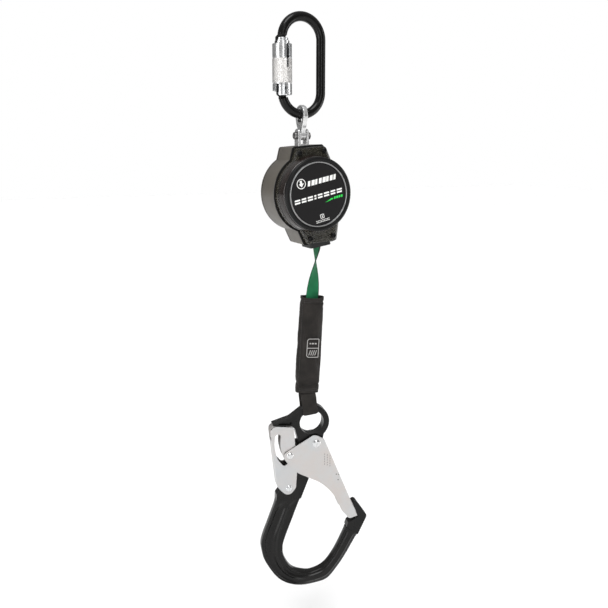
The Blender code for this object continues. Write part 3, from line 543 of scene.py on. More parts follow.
def carabiner_gate():
    profile = ((0, GATE_TOP), (5.9, GATE_TOP), (GATE_R, GATE_TOP - 0.6), (GATE_R, -21.0), (7.4, -21.0),
               (7.8, -21.4), (7.8, -23.7), (GATE_R, -23.7), (GATE_R, -74.6), (5.9, -76.0), (4.0, GATE_LOW),
               (0, GATE_LOW))
    gate = lathe("gate_tube", profile, [ZINC_BRIGHT], "Z", (GATE_X, 0))
    carve(gate, [block("nose_slot", (-40, -3.1, -24.4), (-19.4, 3.1, 0)),
                 block("hinge_slot", (-40, -2.7, -90), (0, 2.7, -66))])
    fit(soften(gate, 0.25, 2), "carabiner_gate", "carabiner_gate")
    pin = ((0, -6.0), (1.1, -6.0), (1.35, -5.7), (1.35, 5.7), (1.1, 6.0), (0, 6.0))
    rivet_pin = lathe("gate_hinge_pin", pin, [STEEL], centre=(GATE_X, GATE_PIN_Z), steps=24)
    fit(shade_by_angle(rivet_pin), "carabiner", "carabiner_gate_pin")
    coil = [(GATE_X + polar(7.4, 360 * i / 32)[0], polar(7.4, 360 * i / 32)[1], -62 + 3.2 * i / 32)
            for i in range(97)]
    fit(shade(wire("gate_coil", coil, 0.38, [STEEL], 8)), "carabiner_gate", "sleeve_spring")


def carabiner_sleeve():
    knurl = SLEEVE_OUT + 0.2
    profile = ((SLEEVE_IN, SLEEVE_TOP), (9.6, SLEEVE_TOP), (SLEEVE_OUT, -24.4), (SLEEVE_OUT, -38.0),
               (9.9, -38.2), (9.9, -38.6), (knurl, -39.0), (knurl, -63.5), (9.9, -63.9), (9.9, -64.3),
               (SLEEVE_OUT, -64.5), (SLEEVE_OUT, -75.4), (9.7, SLEEVE_LOW), (SLEEVE_IN, SLEEVE_LOW))
    sleeve = lathe("locking_sleeve", profile, [ZINC_BRIGHT, KNURL], "Z", (GATE_X, 0), 96)
    for face in sleeve.data.polygons:
        heights = [sleeve.data.vertices[v].co.z / MM for v in face.vertices]
        if min(heights) > -63.6 and max(heights) < -38.9:
            face.material_index = 1
    keyhole = ((-3.8, -20.0), (-3.8, -37.5), (-1.1, -39.0), (-1.1, -48.0), (1.1, -48.0), (1.1, -39.0),
               (3.8, -37.5), (3.8, -20.0))
    for cut, facing in ((prism("top_notch", keyhole, -14, -5), 8),
                        (block("low_notch", (-6.0, -14, -80), (4.6, -4, -64.8)), -28),
                        (block("low_step", (-14.0, -14, -80), (-5.8, 14, -71.7)), -28)):
        cut.location.x = GATE_X * MM
        cut.rotation_euler.z = math.radians(facing)
        bpy.context.view_layer.update()
        carve(sleeve, [cut])
    fit(soften(sleeve, 0.2, 2), "carabiner_sleeve", "carabiner_sleeve")


# ---- anchor eye, yoke and bolt ----

def anchor_eye():
    side = smooth(((0, -85.0), (6.9, -87.9), (10.2, -96.0), (8.4, -104.8), (5.4, -110.4), (4.3, -116.0)))
    right = side[:-1] + arc((0, BOLT_Z), 4.5, 10, -90, 10)[1:]
    outline = right + [(-y, z) for y, z in reversed(right[1:-1])]
    hole = arc((0, -95.25), 5.55, 0, 180, 20) + arc((0, -99.4), 5.55, 180, 360, 20)
    eye = prism("forged_eye", outline, -2.6, 2.6, [ZINC_BRIGHT], [hole], "YZ")
    fit(soften(eye, 1.9, 6), "anchor_eye", "anchor_eye")
    boss = ((0, -3.3), (4.2, -3.3), (4.6, -2.9), (4.6, 2.9), (4.2, 3.3), (0, 3.3))
    fit(shade_by_angle(lathe("eye_boss", boss, [ZINC_BRIGHT], "X", (0, BOLT_Z), 40)), "anchor_eye")


def yoke():
    outline = arc((0, -115.4), YOKE_DEPTH, 0, 180, 24)
    outline += fillet(((-YOKE_DEPTH, -120), (-YOKE_DEPTH, -138.6, 2), (YOKE_DEPTH, -138.6, 2),
                       (YOKE_DEPTH, -120)))
    made = prism("swivel_yoke", outline, -YOKE_HALF, YOKE_HALF, [ZINC_BRIGHT], plane="YZ")
    carve(made, [block("yoke_gap", (-YOKE_INNER, -9, -126.5), (YOKE_INNER, 9, -100))])
    fit(soften(made, 0.5, 3), "yoke", "yoke")
    bolt = ((0, -8.4), (1.5, -8.4), (1.8, -9.5), (3.1, -9.7), (3.7, -9.4), (4.0, -8.8), (4.0, -7.2),
            (3.8, -6.7), (BOLT_R, -6.7), (BOLT_R, 9.4), (2.2, 9.7), (0, 9.7))
    fit(shade_by_angle(lathe("shackle_bolt", bolt, [BRONZE], "X", (0, BOLT_Z), 40)), "yoke", "yoke_bolt")
    nut = prism("shackle_nut", circle(4.2, 6, (0, BOLT_Z)), 6.7, 9.2, [BRONZE],
                [circle(2.5, 32, (0, BOLT_Z))], "YZ")
    fit(soften(nut, 0.35, 2), "yoke", "yoke_nut")


# ---- housing ----

def shell_outline(inset):
    radius, side = SHELL_R - inset, 1.08 * inset
    corners = list(arc((0, 0), radius, -48.0, 51.0, 60))
    corners += [(23.5 - side, 50.5 - inset, 3.0), (-13.6 + side, 52.9 - inset, 3.0)]
    corners += list(arc((0, 0), radius, 115.5, 242.0, 80))
    corners += [(-15.4 + side, -55.8 + inset, 3.0), (23.2 - side, -58.8 + inset, 3.0)]
    return fillet(corners)


def shell_ring(outline, y):
    return [(x, y, z) for x, z in outline]


def nozzle_slot(name):
    return block(name, (-10.4, -13.4, -66), (16.4, 12.4, -53.2), HOUSING)


def turned_in_housing(name, profile, finish, *nodes, centre=(0.0, 0.0), steps=128, angle=40):
    made = lathe(name, profile, [finish], centre=centre, steps=steps, place=HOUSING)
    fit(shade_by_angle(made, angle), "housing", *nodes)


def rear_shell():
    """Open tray; the rear edge carries a small raised rim."""
    rings = [shell_ring(shell_outline(inset), y) for y, inset in (
        (SEAM_Y, 0.25), (-5.4, 0), (24.6, 0), (25.2, 0.35), (25.8, 0.35), (26.4, 0), (28.1, 0.1),
        (28.8, 0.6), (SHELL_BACK, 1.5))]
    rings += [shell_ring(shell_outline(inset), y) for y, inset in (
        (SHELL_BACK - 0.01, 10.0), (SHELL_BACK - WALL, 10.0), (SHELL_BACK - WALL, WALL + 1), (26.2, WALL),
        (SEAM_Y, WALL))]
    shell = loft("rear_shell_moulding", rings, [SMOKE_REAR, SMOKE_EDGE_SHADE], closed=True, place=HOUSING)
    carve(shell, [nozzle_slot("nozzle_cut"), block("yoke_cut", (-8.8, -8, 43), (8.8, 5.8, 56), HOUSING)])
    back_edge, seam_edge = (SHELL_BACK - 0.45) * MM, (SEAM_Y + 0.4) * MM
    groove_low, groove_high = 24.8 * MM, 26.2 * MM
    turn_back = HOUSING.to_3x3().inverted()
    # Painted shade: rim, seam-edge and groove faces that do not face straight back or front take the
    # near-black edge smoke.
    for face in shell.data.polygons:
        y = face.center.y
        rim = y > back_edge or y < seam_edge or groove_low < y < groove_high
        face.material_index = 1 if rim and abs((turn_back @ face.normal).y) < 0.98 else 0
    fit(shade_by_angle(shell, 35), "housing", "rear_shell")
    wall = prism("rear_wall", shell_outline(9.0), SHELL_BACK - WALL, SHELL_BACK - 0.02, [SMOKE_REAR],
                 [circle(31.0, 96)], place=HOUSING)
    fit(shade_by_angle(wall), "housing")
    for i, at in enumerate(SCREWS):
        boss = ((1.7, SEAM_Y + 0.6), (3.0, SEAM_Y + 0.6), (3.0, 27.0), (1.7, 27.0))
        turned_in_housing(f"rear_boss_{i + 1}", boss, SMOKE_REAR, centre=at, steps=24)
    cover = ((0, 28.6), (20.0, 28.6), (20.6, 28.2), (22.0, 28.2), (22.6, 28.6), (28.6, 28.6), (30.7, 28.2),
             (30.7, 26.9), (33.0, 26.9), (33.0, 25.6), (0, 25.6))
    turned_in_housing("back_cover", cover, BLACK_PLASTIC, "rear_cover", steps=96)


def front_shell():
    """Round turret with a lipped ear above and below it."""
    outer = ((38.6, FRONT_FACE), (39.6, -24.3), (40.4, -23.4), (41.0, -21.8), (41.9, -13.0),
             (42.4, FRONT_RIM))
    inner = ((40.8, FRONT_RIM), (40.0, -20.5), (38.6, -22.6), (0, -23.0), (0, FRONT_FACE))
    turned_in_housing("front_turret", (*outer, *inner), SMOKE_FRONT, "front_shell", angle=50)
    rings = [shell_ring(shell_outline(inset), y) for y, inset in (
        (FRONT_RIM, STEP), (-14.0, STEP + 0.1), (-14.7, STEP + 0.35), (EAR_FRONT, STEP + 0.9),
        (EAR_FRONT, 8.0), (EAR_FRONT + EAR_WALL, 8.0), (EAR_FRONT + EAR_WALL, STEP + EAR_WALL + 0.6),
        (-13.4, STEP + EAR_WALL), (FRONT_RIM, STEP + EAR_WALL))]
    ears = loft("front_ears", rings, [SMOKE_EAR, SMOKE_EDGE_SHADE], closed=True, place=HOUSING)
    carve(ears, [nozzle_slot("nozzle_cut_front"), rod("turret_cut", 41.2, -30, 0, place=HOUSING)])
    turn_back = HOUSING.to_3x3().inverted()
    # Painted shade: the slanted faces of the ear lips take the near-black edge smoke.
    for face in ears.data.polygons:
        face.material_index = 1 if -0.93 < (turn_back @ face.normal).y < -0.15 else 0
    fit(shade_by_angle(ears, 35), "housing")
    plate = fillet(((-12.4, 50.3, 2.0), (22.2, 48.0, 2.0), (26.6, 34.0), (-17.6, 34.0)))
    low_plate = fillet(((-18.5, -36.0), (27.6, -36.0), (22.0, -56.2, 2.0), (-14.2, -53.3, 2.0)))
    for name, outline in (("ear_window_top", plate), ("ear_window_low", low_plate)):
        window = prism(name, outline, EAR_FRONT + 0.05, EAR_FRONT + EAR_WALL, [SMOKE_EAR], place=HOUSING)
        carve(window, [rod(f"{name}_cut", 41.3, -30, 0, place=HOUSING)])
        fit(shade_by_angle(window, 35), "housing")
    for i, at in enumerate(SCREWS):
        boss = ((1.7, -14.4), (3.4, -14.4), (3.2, FRONT_RIM), (1.7, FRONT_RIM))
        turned_in_housing(f"front_boss_{i + 1}", boss, SMOKE_EAR, centre=at, steps=24)


def front_trim():
    bezel = ((0, -26.2), (35.3, -26.2), (35.4, -28.0), (35.8, -28.5), (36.6, -28.9), (38.2, -28.9),
             (39.3, -28.5), (40.0, -27.8), (40.2, -26.8), (40.2, -25.3), (39.9, -24.9), (0, -24.9))
    turned_in_housing("bezel", bezel, BEZEL, "front_bezel", angle=45)
    ring = ((33.9, -26.6), (35.1, -26.6), (35.1, -27.9), (34.8, -28.15), (34.2, -28.15), (33.9, -27.9))
    turned_in_housing("silver_label_ring", ring, SILVER_RING, "label_ring")
    disc = ((0, DISC_FACE), (33.3, DISC_FACE), (33.6, -27.4), (33.6, -26.6), (0, -26.6))
    turned_in_housing("label_plate", disc, LABEL, "label_disc")
    outline, inner = shell_outline(-0.1), shell_outline(2.2)
    gasket = prism("seam_gasket", outline, -7.2, -5.9, [GASKET], [inner], place=HOUSING)
    carve(gasket, [nozzle_slot("gasket_cut")])
    fit(soften(gasket, 0.3, 2), "housing", "shell_gasket")
    screw = ((0, -16.4), (1.2, -16.4), (1.45, -17.1), (2.3, -17.1), (2.8, -16.6), (2.9, -15.3), (1.3, -15.3),
             (1.3, 6.0), (0, 6.0))
    for i, at in enumerate(SCREWS):
        node = f"housing_screw_{i + 1}"
        turned_in_housing(f"shell_screw_{i + 1}", screw, BEZEL, node, centre=at, steps=32)


def mark(name, outline, ink, holes=()):
    """A printed mark on the label's face."""
    face = prism(name, outline, DISC_FACE - 0.04, DISC_FACE + 0.02, [ink], holes, place=LABEL_PLACE)
    fit(face, "housing")


def slanted(x, z, width, height, lean=0.0):
    return ((x, z), (x + width, z), (x + width + lean, z + height), (x + lean, z + height))


def label_marks():
    """Plain geometric marks in place of a printed name."""
    emblem = (-18.6, 15.9)
    mark("emblem_ring", circle(5.4, 48, emblem), WHITE_INK, [circle(4.6, 48, emblem)])
    arrow = ((0, -3.5), (3.1, 0.2), (1.2, 0.2), (1.2, 3.5), (-1.2, 3.5), (-1.2, 0.2), (-3.1, 0.2))
    mark("emblem_arrow", [(emblem[0] + x, emblem[1] + z) for x, z in arrow], WHITE_INK)
    for i, width in enumerate((3.0, 3.8, 2.6, 3.4, 4.0, 3.0, 3.6, 2.8)):
        mark(f"top_line_{i + 1}", slanted(-11.6 + 4.6 * i, 11.4, width, 5.4, 1.5), WHITE_INK)
    left = -30.6
    for i, width in enumerate((6.6, 5.6, 6.4, 2.4, 5.8, 6.6, 6.0, 6.6)):
        mark(f"main_line_low_{i + 1}", slanted(left, -4.0, width, 1.7, 0.2), WHITE_INK)
        mark(f"main_line_top_{i + 1}", slanted(left + 0.4, -1.2, width, 1.7, 0.2), WHITE_INK)
        left += width + 1.9
    mark("green_stroke", ((6.0, -10.4), (16.0, -9.0), (16.0, -7.6), (14.0, -7.6)), GREEN_INK)
    for i in range(4):
        mark(f"green_dash_{i + 1}", slanted(17.2 + 3.0 * i, -9.2, 2.2, 2.4, 0.6), GREEN_INK)
    book = fillet(((-3.2, -26.2, 0.8), (1.6, -26.2, 0.8), (1.6, -21.6, 0.8), (-3.2, -21.6, 0.8)), 4)
    window = fillet(((-2.6, -25.6, 0.5), (1.0, -25.6, 0.5), (1.0, -22.2, 0.5), (-2.6, -22.2, 0.5)), 4)
    mark("book_sign", book, WHITE_INK, [window])
    mark("book_sign_mark", slanted(-1.2, -25.0, 0.8, 2.2), WHITE_INK)
    for i in range(9):
        mark(f"small_line_{i + 1}", slanted(-9.2 + 1.9 * i, -28.3, 1.3, 0.7), WHITE_INK)
        mark(f"small_line_low_{i + 1}", slanted(-9.2 + 1.9 * i, -30.0, 1.4, 0.7), WHITE_INK)


def webbing_nozzle():
    outline = fillet(((-10, -13, 3), (16, -13, 3), (16, 12, 3), (-10, 12, 3)))
    left, right = EXIT_X - 1.6, EXIT_X + 1.6
    slot = fillet(((left, -9.4, 1), (right, -9.4, 1), (right, 9.4, 1), (left, 9.4, 1)))
    nozzle = prism("exit_nozzle", outline, -60.2, -53.6, [BLACK_PLASTIC], [slot], "XY", HOUSING)
    fit(soften(nozzle, 0.8, 3), "housing", "webbing_nozzle")


# ---- webbing, absorber and loop ----

def webbing_ring(point, along, heading, columns):
    """A flat section with rounded selvedges."""
    width = Vector((*polar(1.0, heading), 0))
    width = (width - along * width.dot(along)).normalized()
    flat = along.cross(width)
    half = [(-1 + 2 * i / columns) for i in range(columns + 1)]
    shape = [(a, -(1 - 0.5 * abs(a) ** 12)) for a in half]
    shape += [(a, 1 - 0.5 * abs(a) ** 12) for a in reversed(half)]
    return [point + width * a * WEB_W / 2 + flat * b * WEB_T / 2 for a, b in shape]


def webbing(name, path, headings):
    columns = 16
    rings = []
    for i, (point, heading) in enumerate(zip(path, headings)):
        along = (path[min(i + 1, len(path) - 1)] - path[max(i - 1, 0)]).normalized()
        rings.append(webbing_ring(point, along, heading, columns))
    made = loft(name, rings, [GREEN_WEB, SELVEDGE])
    size = 2 * (columns + 1)
    for i, face in enumerate(made.data.polygons):
        column = i % size % (size // 2)
        at_edge = min(column, size // 2 - 1 - column)
        face.material_index = 1 if at_edge <= 0 else 0
    return shade_by_angle(made, 60)


def lifeline():
    reel = smooth(((24.6, -19.0), (15.0, -30.6), (6.4, -41.0), (EXIT_X, -47.0), (EXIT_X, -61.5)), 10)
    lead = webbing("webbing_off_drum", [HOUSING @ Vector((x, 0, z)) for x, z in reel], [90] * len(reel))
    fit(lead, "housing", "webbing_lead")
    leave = HOUSING @ Vector((EXIT_X, 0, -61.7))
    sink = PACK_LOW.lerp(PACK_TOP, 0.965)
    steps = 60
    shares = [i / steps for i in range(steps + 1)]
    turns = [-90 - 86 * ease(s ** 0.72) for s in shares]
    strap = webbing("green_strap", [leave.lerp(sink, s) for s in shares], turns)
    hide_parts("lifeline_webbing")
    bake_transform(strap)


def cover_shape(steps_round, steps_high, height):
    """The absorber's sleeve before it is filled: flat pressed ends and soft sides."""
    rings = []
    for k in range(steps_high + 1):
        share = k / steps_high
        end = max(0.0, 1 - share / 0.1, 1 - (1 - share) / 0.05)
        half_w, half_d = PACK_HALF_W - 0.5 - 0.1 * end, PACK_HALF_D - 1.2 - 0.9 * end
        rings.append([(x, y, height * share) for x, y in superellipse(half_w, half_d, 3, steps_round)])
    return rings


def open_tube(name, rings, materials, place):
    size = len(rings[0])
    vertices = [point for ring in rings for point in ring]
    faces = [(r * size + i, r * size + (i + 1) % size, (r + 1) * size + (i + 1) % size, (r + 1) * size + i)
             for r in range(len(rings) - 1) for i in range(size)]
    return mesh_object(name, vertices, faces, materials, place)


def fill_with_cloth(target, pinned, cap_m):
    """Blows the cloth up a little round its filling, then settles the result into the mesh."""
    before = [v.co.copy() for v in target.data.vertices]
    pins = target.vertex_groups.new(name="pins")
    pins.add(pinned, 1.0, "REPLACE")
    step = target.modifiers.new("Cloth", "CLOTH")
    step.settings.quality = 5
    step.settings.mass = 0.3
    step.settings.tension_stiffness = 12
    step.settings.compression_stiffness = 12
    step.settings.bending_stiffness = 0.4
    step.settings.shrink_min = -0.035
    step.settings.use_pressure = True
    step.settings.uniform_pressure_force = 5.0
    step.settings.vertex_group_mass = "pins"
    step.settings.effector_weights.gravity = 0.0
    step.collision_settings.use_collision = False
    step.point_cache.frame_start, step.point_cache.frame_end = 1, 20
    scene = bpy.context.scene
    for number in range(1, 21):
        scene.frame_set(number)
    bake(target)
    scene.frame_set(1)
    for vertex, start in zip(target.data.vertices, before):
        moved = vertex.co - start
        if moved.length > cap_m:
            vertex.co = start + moved.normalized() * cap_m


def absorber():
    height = (PACK_TOP - PACK_LOW).length
    round_steps, high_steps = 72, 110
    rings = cover_shape(round_steps, high_steps, height)
    cover = open_tube("absorber_sleeve", rings, [BLACK_CLOTH], PACK)
    last = round_steps * (high_steps + 1)
    ends = [*range(round_steps * 3), *range(last - 3 * round_steps, last)]
    fill_with_cloth(cover, ends, 0.0011)
    wrinkle(cover, height)
    solid = cover.modifiers.new("Thickness", "SOLIDIFY")
    solid.thickness = 1.1 * MM
    solid.offset = -1
    bake(cover)
    fit(shade(cover), "lifeline", "absorber_cover")
    core = [[(x, y, z) for x, y in superellipse(11.8 - cut, 6.0 - cut, 4, 48)]
            for z, cut in ((7, 1), (7.6, 0.2), (8, 0), (105, 0), (105.6, 0.3), (106, 1))]
    fit(shade_by_angle(loft("folded_core", core, [BLACK_WEB], place=PACK)), "lifeline", "absorber_core")
    stitch_rows(height)
    pictogram()


def wrinkle(target, height):
    """Soft creases near the hems and a lip that dips at the mouth."""
    back = PACK.inverted()
    for vertex in target.data.vertices:
        local = back @ (vertex.co / MM)
        share = local.z / height
        crease = noise.noise(Vector((local.x * 0.16, local.y * 0.2, local.z * 0.06)))
        fine = noise.noise(Vector((local.x * 0.35 + 7, local.y * 0.4, local.z * 0.22)))
        out = Vector((local.x, local.y * 2, 0)).normalized()
        local += out * (0.38 * crease + 0.16 * fine) * (1 - abs(2 * share - 1) ** 8)
        if share > 0.9 and local.y < 0:
            local.z -= 1.6 * ease((share - 0.9) / 0.1) * (1 - (local.x / PACK_HALF_W) ** 2)
        vertex.co = PACK @ local * MM


def stitch_rows(height):
    """Thread runs across the front and back, by each hem and down the side seam."""
    runs = []
    for side in (-1, 1):
        for z in (3.2, 5.4, height - 4.4, height - 6.2):
            for i in range(9):
                x = -11.2 + 2.5 * i
                runs.append(((x, z), (x + 1.6, z), side))
    for i in range(38):
        z = 9.0 + 2.6 * i
        runs.append(((-12.2, z), (-12.2, z + 1.7), -1))
    pieces = []
    for i, (start, end, side) in enumerate(runs):
        path = []
        for k in range(5):
            share = k / 4
            x = start[0] + (end[0] - start[0]) * share
            z = start[1] + (end[1] - start[1]) * share
            near_end = max(0.0, 1 - z / 12, 1 - (height - z) / 7)
            side_share = abs(x) / (PACK_HALF_W - 0.4)
            half = (PACK_HALF_D - 0.75 - 0.9 * near_end) * (1 - side_share ** 3) ** (1 / 3)
            lift_off = 0.16 * math.sin(math.pi * share)
            path.append((x, side * (half + 0.1 + lift_off), z))
        pieces.append(wire(f"stitch_{i}", path, 0.2, [THREAD], 6, PACK))
    fit(shade(join("hem_stitches", pieces)), "lifeline")


def join(name, pieces):
    work = bmesh.new()
    for piece in pieces:
        work.from_mesh(piece.data)
    mesh = bpy.data.meshes.new(name)
    work.to_mesh(mesh)
    work.free()
    for finish in pieces[0].data.materials:
        mesh.materials.append(finish)
    for piece in pieces:
        bpy.data.objects.remove(piece)
    made = bpy.data.objects.new(name, mesh)
    bpy.context.scene.collection.objects.link(made)
    return made


def pictogram():
    """A frame with two panes: small plain marks in the upper one, slanted bars in the lower one."""
    y = -9.75

    def sewn(name, outline, holes=()):
        return prism(name, outline, y - 0.06, y + 0.1, [GREY_INK], holes, place=PACK)

    outer = fillet(((-3.4, 44.4), (9.0, 44.4, 1.0), (9.0, 67.0, 1.0), (-3.4, 67.0), (-5.4, 65.0),
                    (-5.4, 46.4)), 5)
    low_pane = fillet(((-3.1, 45.1), (8.3, 45.1, 0.6), (8.3, 55.3, 0.6), (-4.7, 55.3), (-4.7, 46.7)), 5)
    top_pane = fillet(((-4.7, 56.0), (8.3, 56.0, 0.6), (8.3, 66.3, 0.6), (-3.1, 66.3), (-4.7, 64.7)), 5)
    parts = [sewn("pane_frame", outer, [low_pane, top_pane])]
    parts += [sewn("bar", slanted(-3.0 + 2.4 * i, 47.0, 0.8, 6.2, 1.8)) for i in range(4)]
    dashes = ((-2.4, 1.6), (0.2, 2.6), (3.8, 2.2))
    parts += [sewn("dash", slanted(x, 60.4, width, 1.5)) for x, width in dashes]
    fit(join("pictogram_print", parts), "lifeline")
    patch = fillet(((-6.0, 43.8, 1.2), (9.6, 43.8, 1.2), (9.6, 67.6, 1.2), (-6.0, 67.6, 1.2)), 6)
    base = prism("pictogram_backing", patch, -9.76, -9.3, [BLACK_CLOTH], place=PACK)
    fit(soften(base, 0.15, 2), "lifeline", "pictogram_patch")

def web_loop():
    top = Vector((PACK_LOW.x, 0, PACK_LOW.z + LOOP_TOP_Z))
    drop = HOOK_EYE - top
    reach = drop.length
    down = -drop.normalized()
    across = Matrix.Rotation(math.radians(YAW), 3, "Z") @ Vector((1, 0, 0))
    across = (across - down * across.dot(down)).normalized()
    turn = Matrix((across, down.cross(across), down)).transposed()
    place = Matrix.Translation(top) @ turn.to_4x4()
    shoulder, low = -(reach - 25.0), -(reach - 9.6)
    half = HOOK_HALF + 0.5 + LOOP_T / 2
    leg = smooth(((1.7, 0.0), (4.4, -2.6), (7.0, -6.5), (half, shoulder), (half, low + 1.2)), 8)
    bend = arc((half - 2.4, low + 1.2), 2.4, 0, -90, 8)[1:]
    side = leg + bend + [(0, low - 1.2)]
    path = side + [(-y, z) for y, z in reversed(side[:-1])]
    rings = []
    for i, (y, z) in enumerate(path):
        ahead, back = Vector(path[min(i + 1, len(path) - 1)]), Vector(path[max(i - 1, 0)])
        normal = (ahead - back).normalized().orthogonal()
        ring = []
        narrowing = 1.7 * (1 - ease((abs(y) - 6.2) / 1.2)) if z < shoulder else 0.0
        for a, b in superellipse(LOOP_W / 2 - narrowing, LOOP_T / 2 - 0.1, 7, 28):
            ring.append((a, y + normal.x * b, z + normal.y * b))
        rings.append(ring)
    loop = shade_by_angle(loft("web_loop_band", rings, [BLACK_WEB], place=place), 50)
    fit(loop, "web_loop", "web_loop")


# ---- scaffold hook ----

def hook_top_outline():
    """Eye, thumb rest, neck and gate boss, down to where the bowl's section takes over."""
    eye = arc(EYE_CENTRE, EYE_OUT, -46, 122, 60)
    thumb = [(-25.5, 5.4, 12.0), (-46.8, -0.8, 0.6), (-46.2, -2.7, 0.6), (-24.0, -5.2), (-19.8, -8.0, 2.0)]
    neck = smooth(((-15.6, -25.0), (-19.5, -46.0), (-26.0, -66.0), (-34.6, -79.5)))
    low = [(-38.8, -87.0, 1.0), (-42.8, -92.0, 1.8), (-43.2, -100.0), (-12.6, -100.0)]
    boss = [(-2.8, -74.5), (-0.2, -47.0, 6.0), *arc(PIVOT, 8.4, -100, -12, 16), (14.6, -23.6, 2.0)]
    return fillet([*eye, *thumb, *neck, *low, *boss])


def hook_top():
    top = prism("hook_forging_top", hook_top_outline(), -HOOK_HALF, HOOK_HALF, [FORGING],
                [circle(EYE_IN, 64, EYE_CENTRE)], place=HOOK)
    slot = fillet(((-41.0, -0.9, 0.5), (-39.0, -1.9, 0.8), (-24.4, -3.2, 1.2), (-23.0, 0.6, 1.2),
                   (-30.0, 1.5, 2.0)), 5)
    carve(top, [prism(f"thumb_slot_{side}", slot, *sorted((side * 3.4, side * 8)), place=HOOK)
                for side in (-1, 1)])
    fit(soften(top, 1.5, 5), "hook", "hook_body")


def blend_profiles(first, second, share):
    return [(a[0] + (b[0] - a[0]) * share, a[1] + (b[1] - a[1]) * share) for a, b in zip(first, second)]


def resample(line, count):
    """Points evenly spaced along an open line."""
    points = [Vector(p) for p in line]
    lengths = [0.0]
    for a, b in zip(points, points[1:]):
        lengths.append(lengths[-1] + (b - a).length)
    spaced, k = [], 0
    for i in range(count):
        want = lengths[-1] * i / (count - 1)
        while k < len(points) - 2 and lengths[k + 1] < want:
            k += 1
        share = (want - lengths[k]) / (lengths[k + 1] - lengths[k])
        spaced.append(points[k].lerp(points[k + 1], share))
    return spaced


def hook_bowl():
    """A forged section swept round the bowl, with a rim on each edge and a rib that fades along the arm."""
    steps = 90
    outside = ((-42.9, -96.0), (-45.4, -106.5), (-52.0, -124.5), (-61.8, -152.0), (-61.5, -166.0),
               (-57.3, -181.5), (-43.0, -204.8), (-27.0, -216.5), (-9.6, -221.8), (8.5, -221.0),
               (22.4, -217.3), (34.5, -204.0), (45.5, -188.0), (56.6, -168.6), (63.0, -157.0))
    inside = ((-11.0, -95.6), (-14.6, -105.0), (-22.6, -126.5), (-32.6, -153.0), (-35.0, -164.5),
              (-33.0, -178.5), (-22.5, -195.5), (-4.3, -203.0), (9.0, -201.2), (19.2, -195.4),
              (27.5, -185.2), (34.2, -173.8), (41.5, -158.5), (46.8, -146.5))
    outer, inner = resample(smooth(outside), steps), resample(smooth(inside), steps)
    plain = ((0.0, 0.0), (0.0, 0.55), (0.02, 0.8), (0.06, 0.97), (0.12, 1.0), (0.2, 1.0),
             (0.3, 1.0), (0.4, 1.0), (0.5, 1.0), (0.6, 1.0), (0.7, 1.0), (0.8, 1.0),
             (0.86, 1.0), (0.94, 0.97), (0.98, 0.8), (1.0, 0.55), (1.0, 0.0))
    ribbed = ((0.0, 0.0), (0.0, 0.5), (0.015, 0.78), (0.05, 0.95), (0.09, 0.97), (0.14, 0.8),
              (0.19, 0.5), (0.36, 0.45), (0.45, 0.62), (0.52, 0.98), (0.58, 0.98), (0.66, 0.66),
              (0.78, 0.6), (0.86, 0.9), (0.93, 0.97), (0.985, 0.7), (1.0, 0.0))
    arm = ((0.0, 0.0), (0.0, 0.35), (0.03, 0.5), (0.12, 0.62), (0.2, 0.72), (0.3, 0.82),
           (0.34, 0.97), (0.4, 1.0), (0.5, 1.0), (0.6, 1.0), (0.68, 1.0), (0.72, 0.97),
           (0.77, 0.72), (0.84, 0.72), (0.9, 0.92), (0.98, 0.7), (1.0, 0.0))
    rings = []
    for i, (far, near) in enumerate(zip(outer, inner)):
        share = i / (steps - 1)
        profile = blend_profiles(plain, ribbed, ease((share - 0.01) / 0.07))
        profile = blend_profiles(profile, arm, ease((share - 0.5) / 0.14))
        if share > 0.97:
            profile = blend_profiles(profile, plain, ease((share - 0.97) / 0.03))
        front = [(f, -h) for f, h in profile]
        back = [(f, h) for f, h in reversed(profile[1:-1])]
        ring = []
        for f, h in front + back:
            point = far.lerp(near, f)
            ring.append((point.x, h * HOOK_HALF, point.y))
        rings.append(ring)
    bowl = loft("hook_forging_bowl", rings, [FORGING], place=HOOK)
    detail = bowl.modifiers.new("Detail", "SUBSURF")
    detail.levels = detail.render_levels = 2
    fit(shade(bowl), "hook")


def hook_nose():
    outline = fillet([(61.4, -159.6), (73.3, -134.2, 5.5), (59.5, -113.4, 3.0), (56.4, -112.2, 1.5),
                      (53.4, -114.0, 1.0), (60.2, -130.4), (61.6, -133.6, 0.8), (48.6, -140.6, 1.5),
                      (46.4, -147.2)])
    nose = prism("hook_forging_nose", outline, -HOOK_HALF, HOOK_HALF, [FORGING], place=HOOK)
    fit(soften(nose, 1.1, 4), "hook")


def rivet(name, node, centre, head, seat, body):
    near = seat + 0.3
    half = ((head * 0.6, near), (head * 0.97, near), (head, near + 0.35), (head * 0.86, near + 0.95),
            (head * 0.55, near + 1.35), (head * 0.3, near + 1.4), (0, near + 1.4))
    profile = [(r, -y) for r, y in reversed(half)] + list(half)
    made = lathe(name, profile, [CHROME], centre=centre, steps=40, place=HOOK)
    half_width, half_length = 0.45, head * 0.62
    slots = []
    for side in (-1, 1):
        low, high = sorted((side * (near + 0.8), side * (near + 3)))
        slots.append(block(f"{name}_slot_{side}", (centre[0] - half_width, low, centre[1] - half_length),
                           (centre[0] + half_width, high, centre[1] + half_length), HOOK))
    carve(made, slots)
    fit(soften(made, 0.12, 2), body, node)


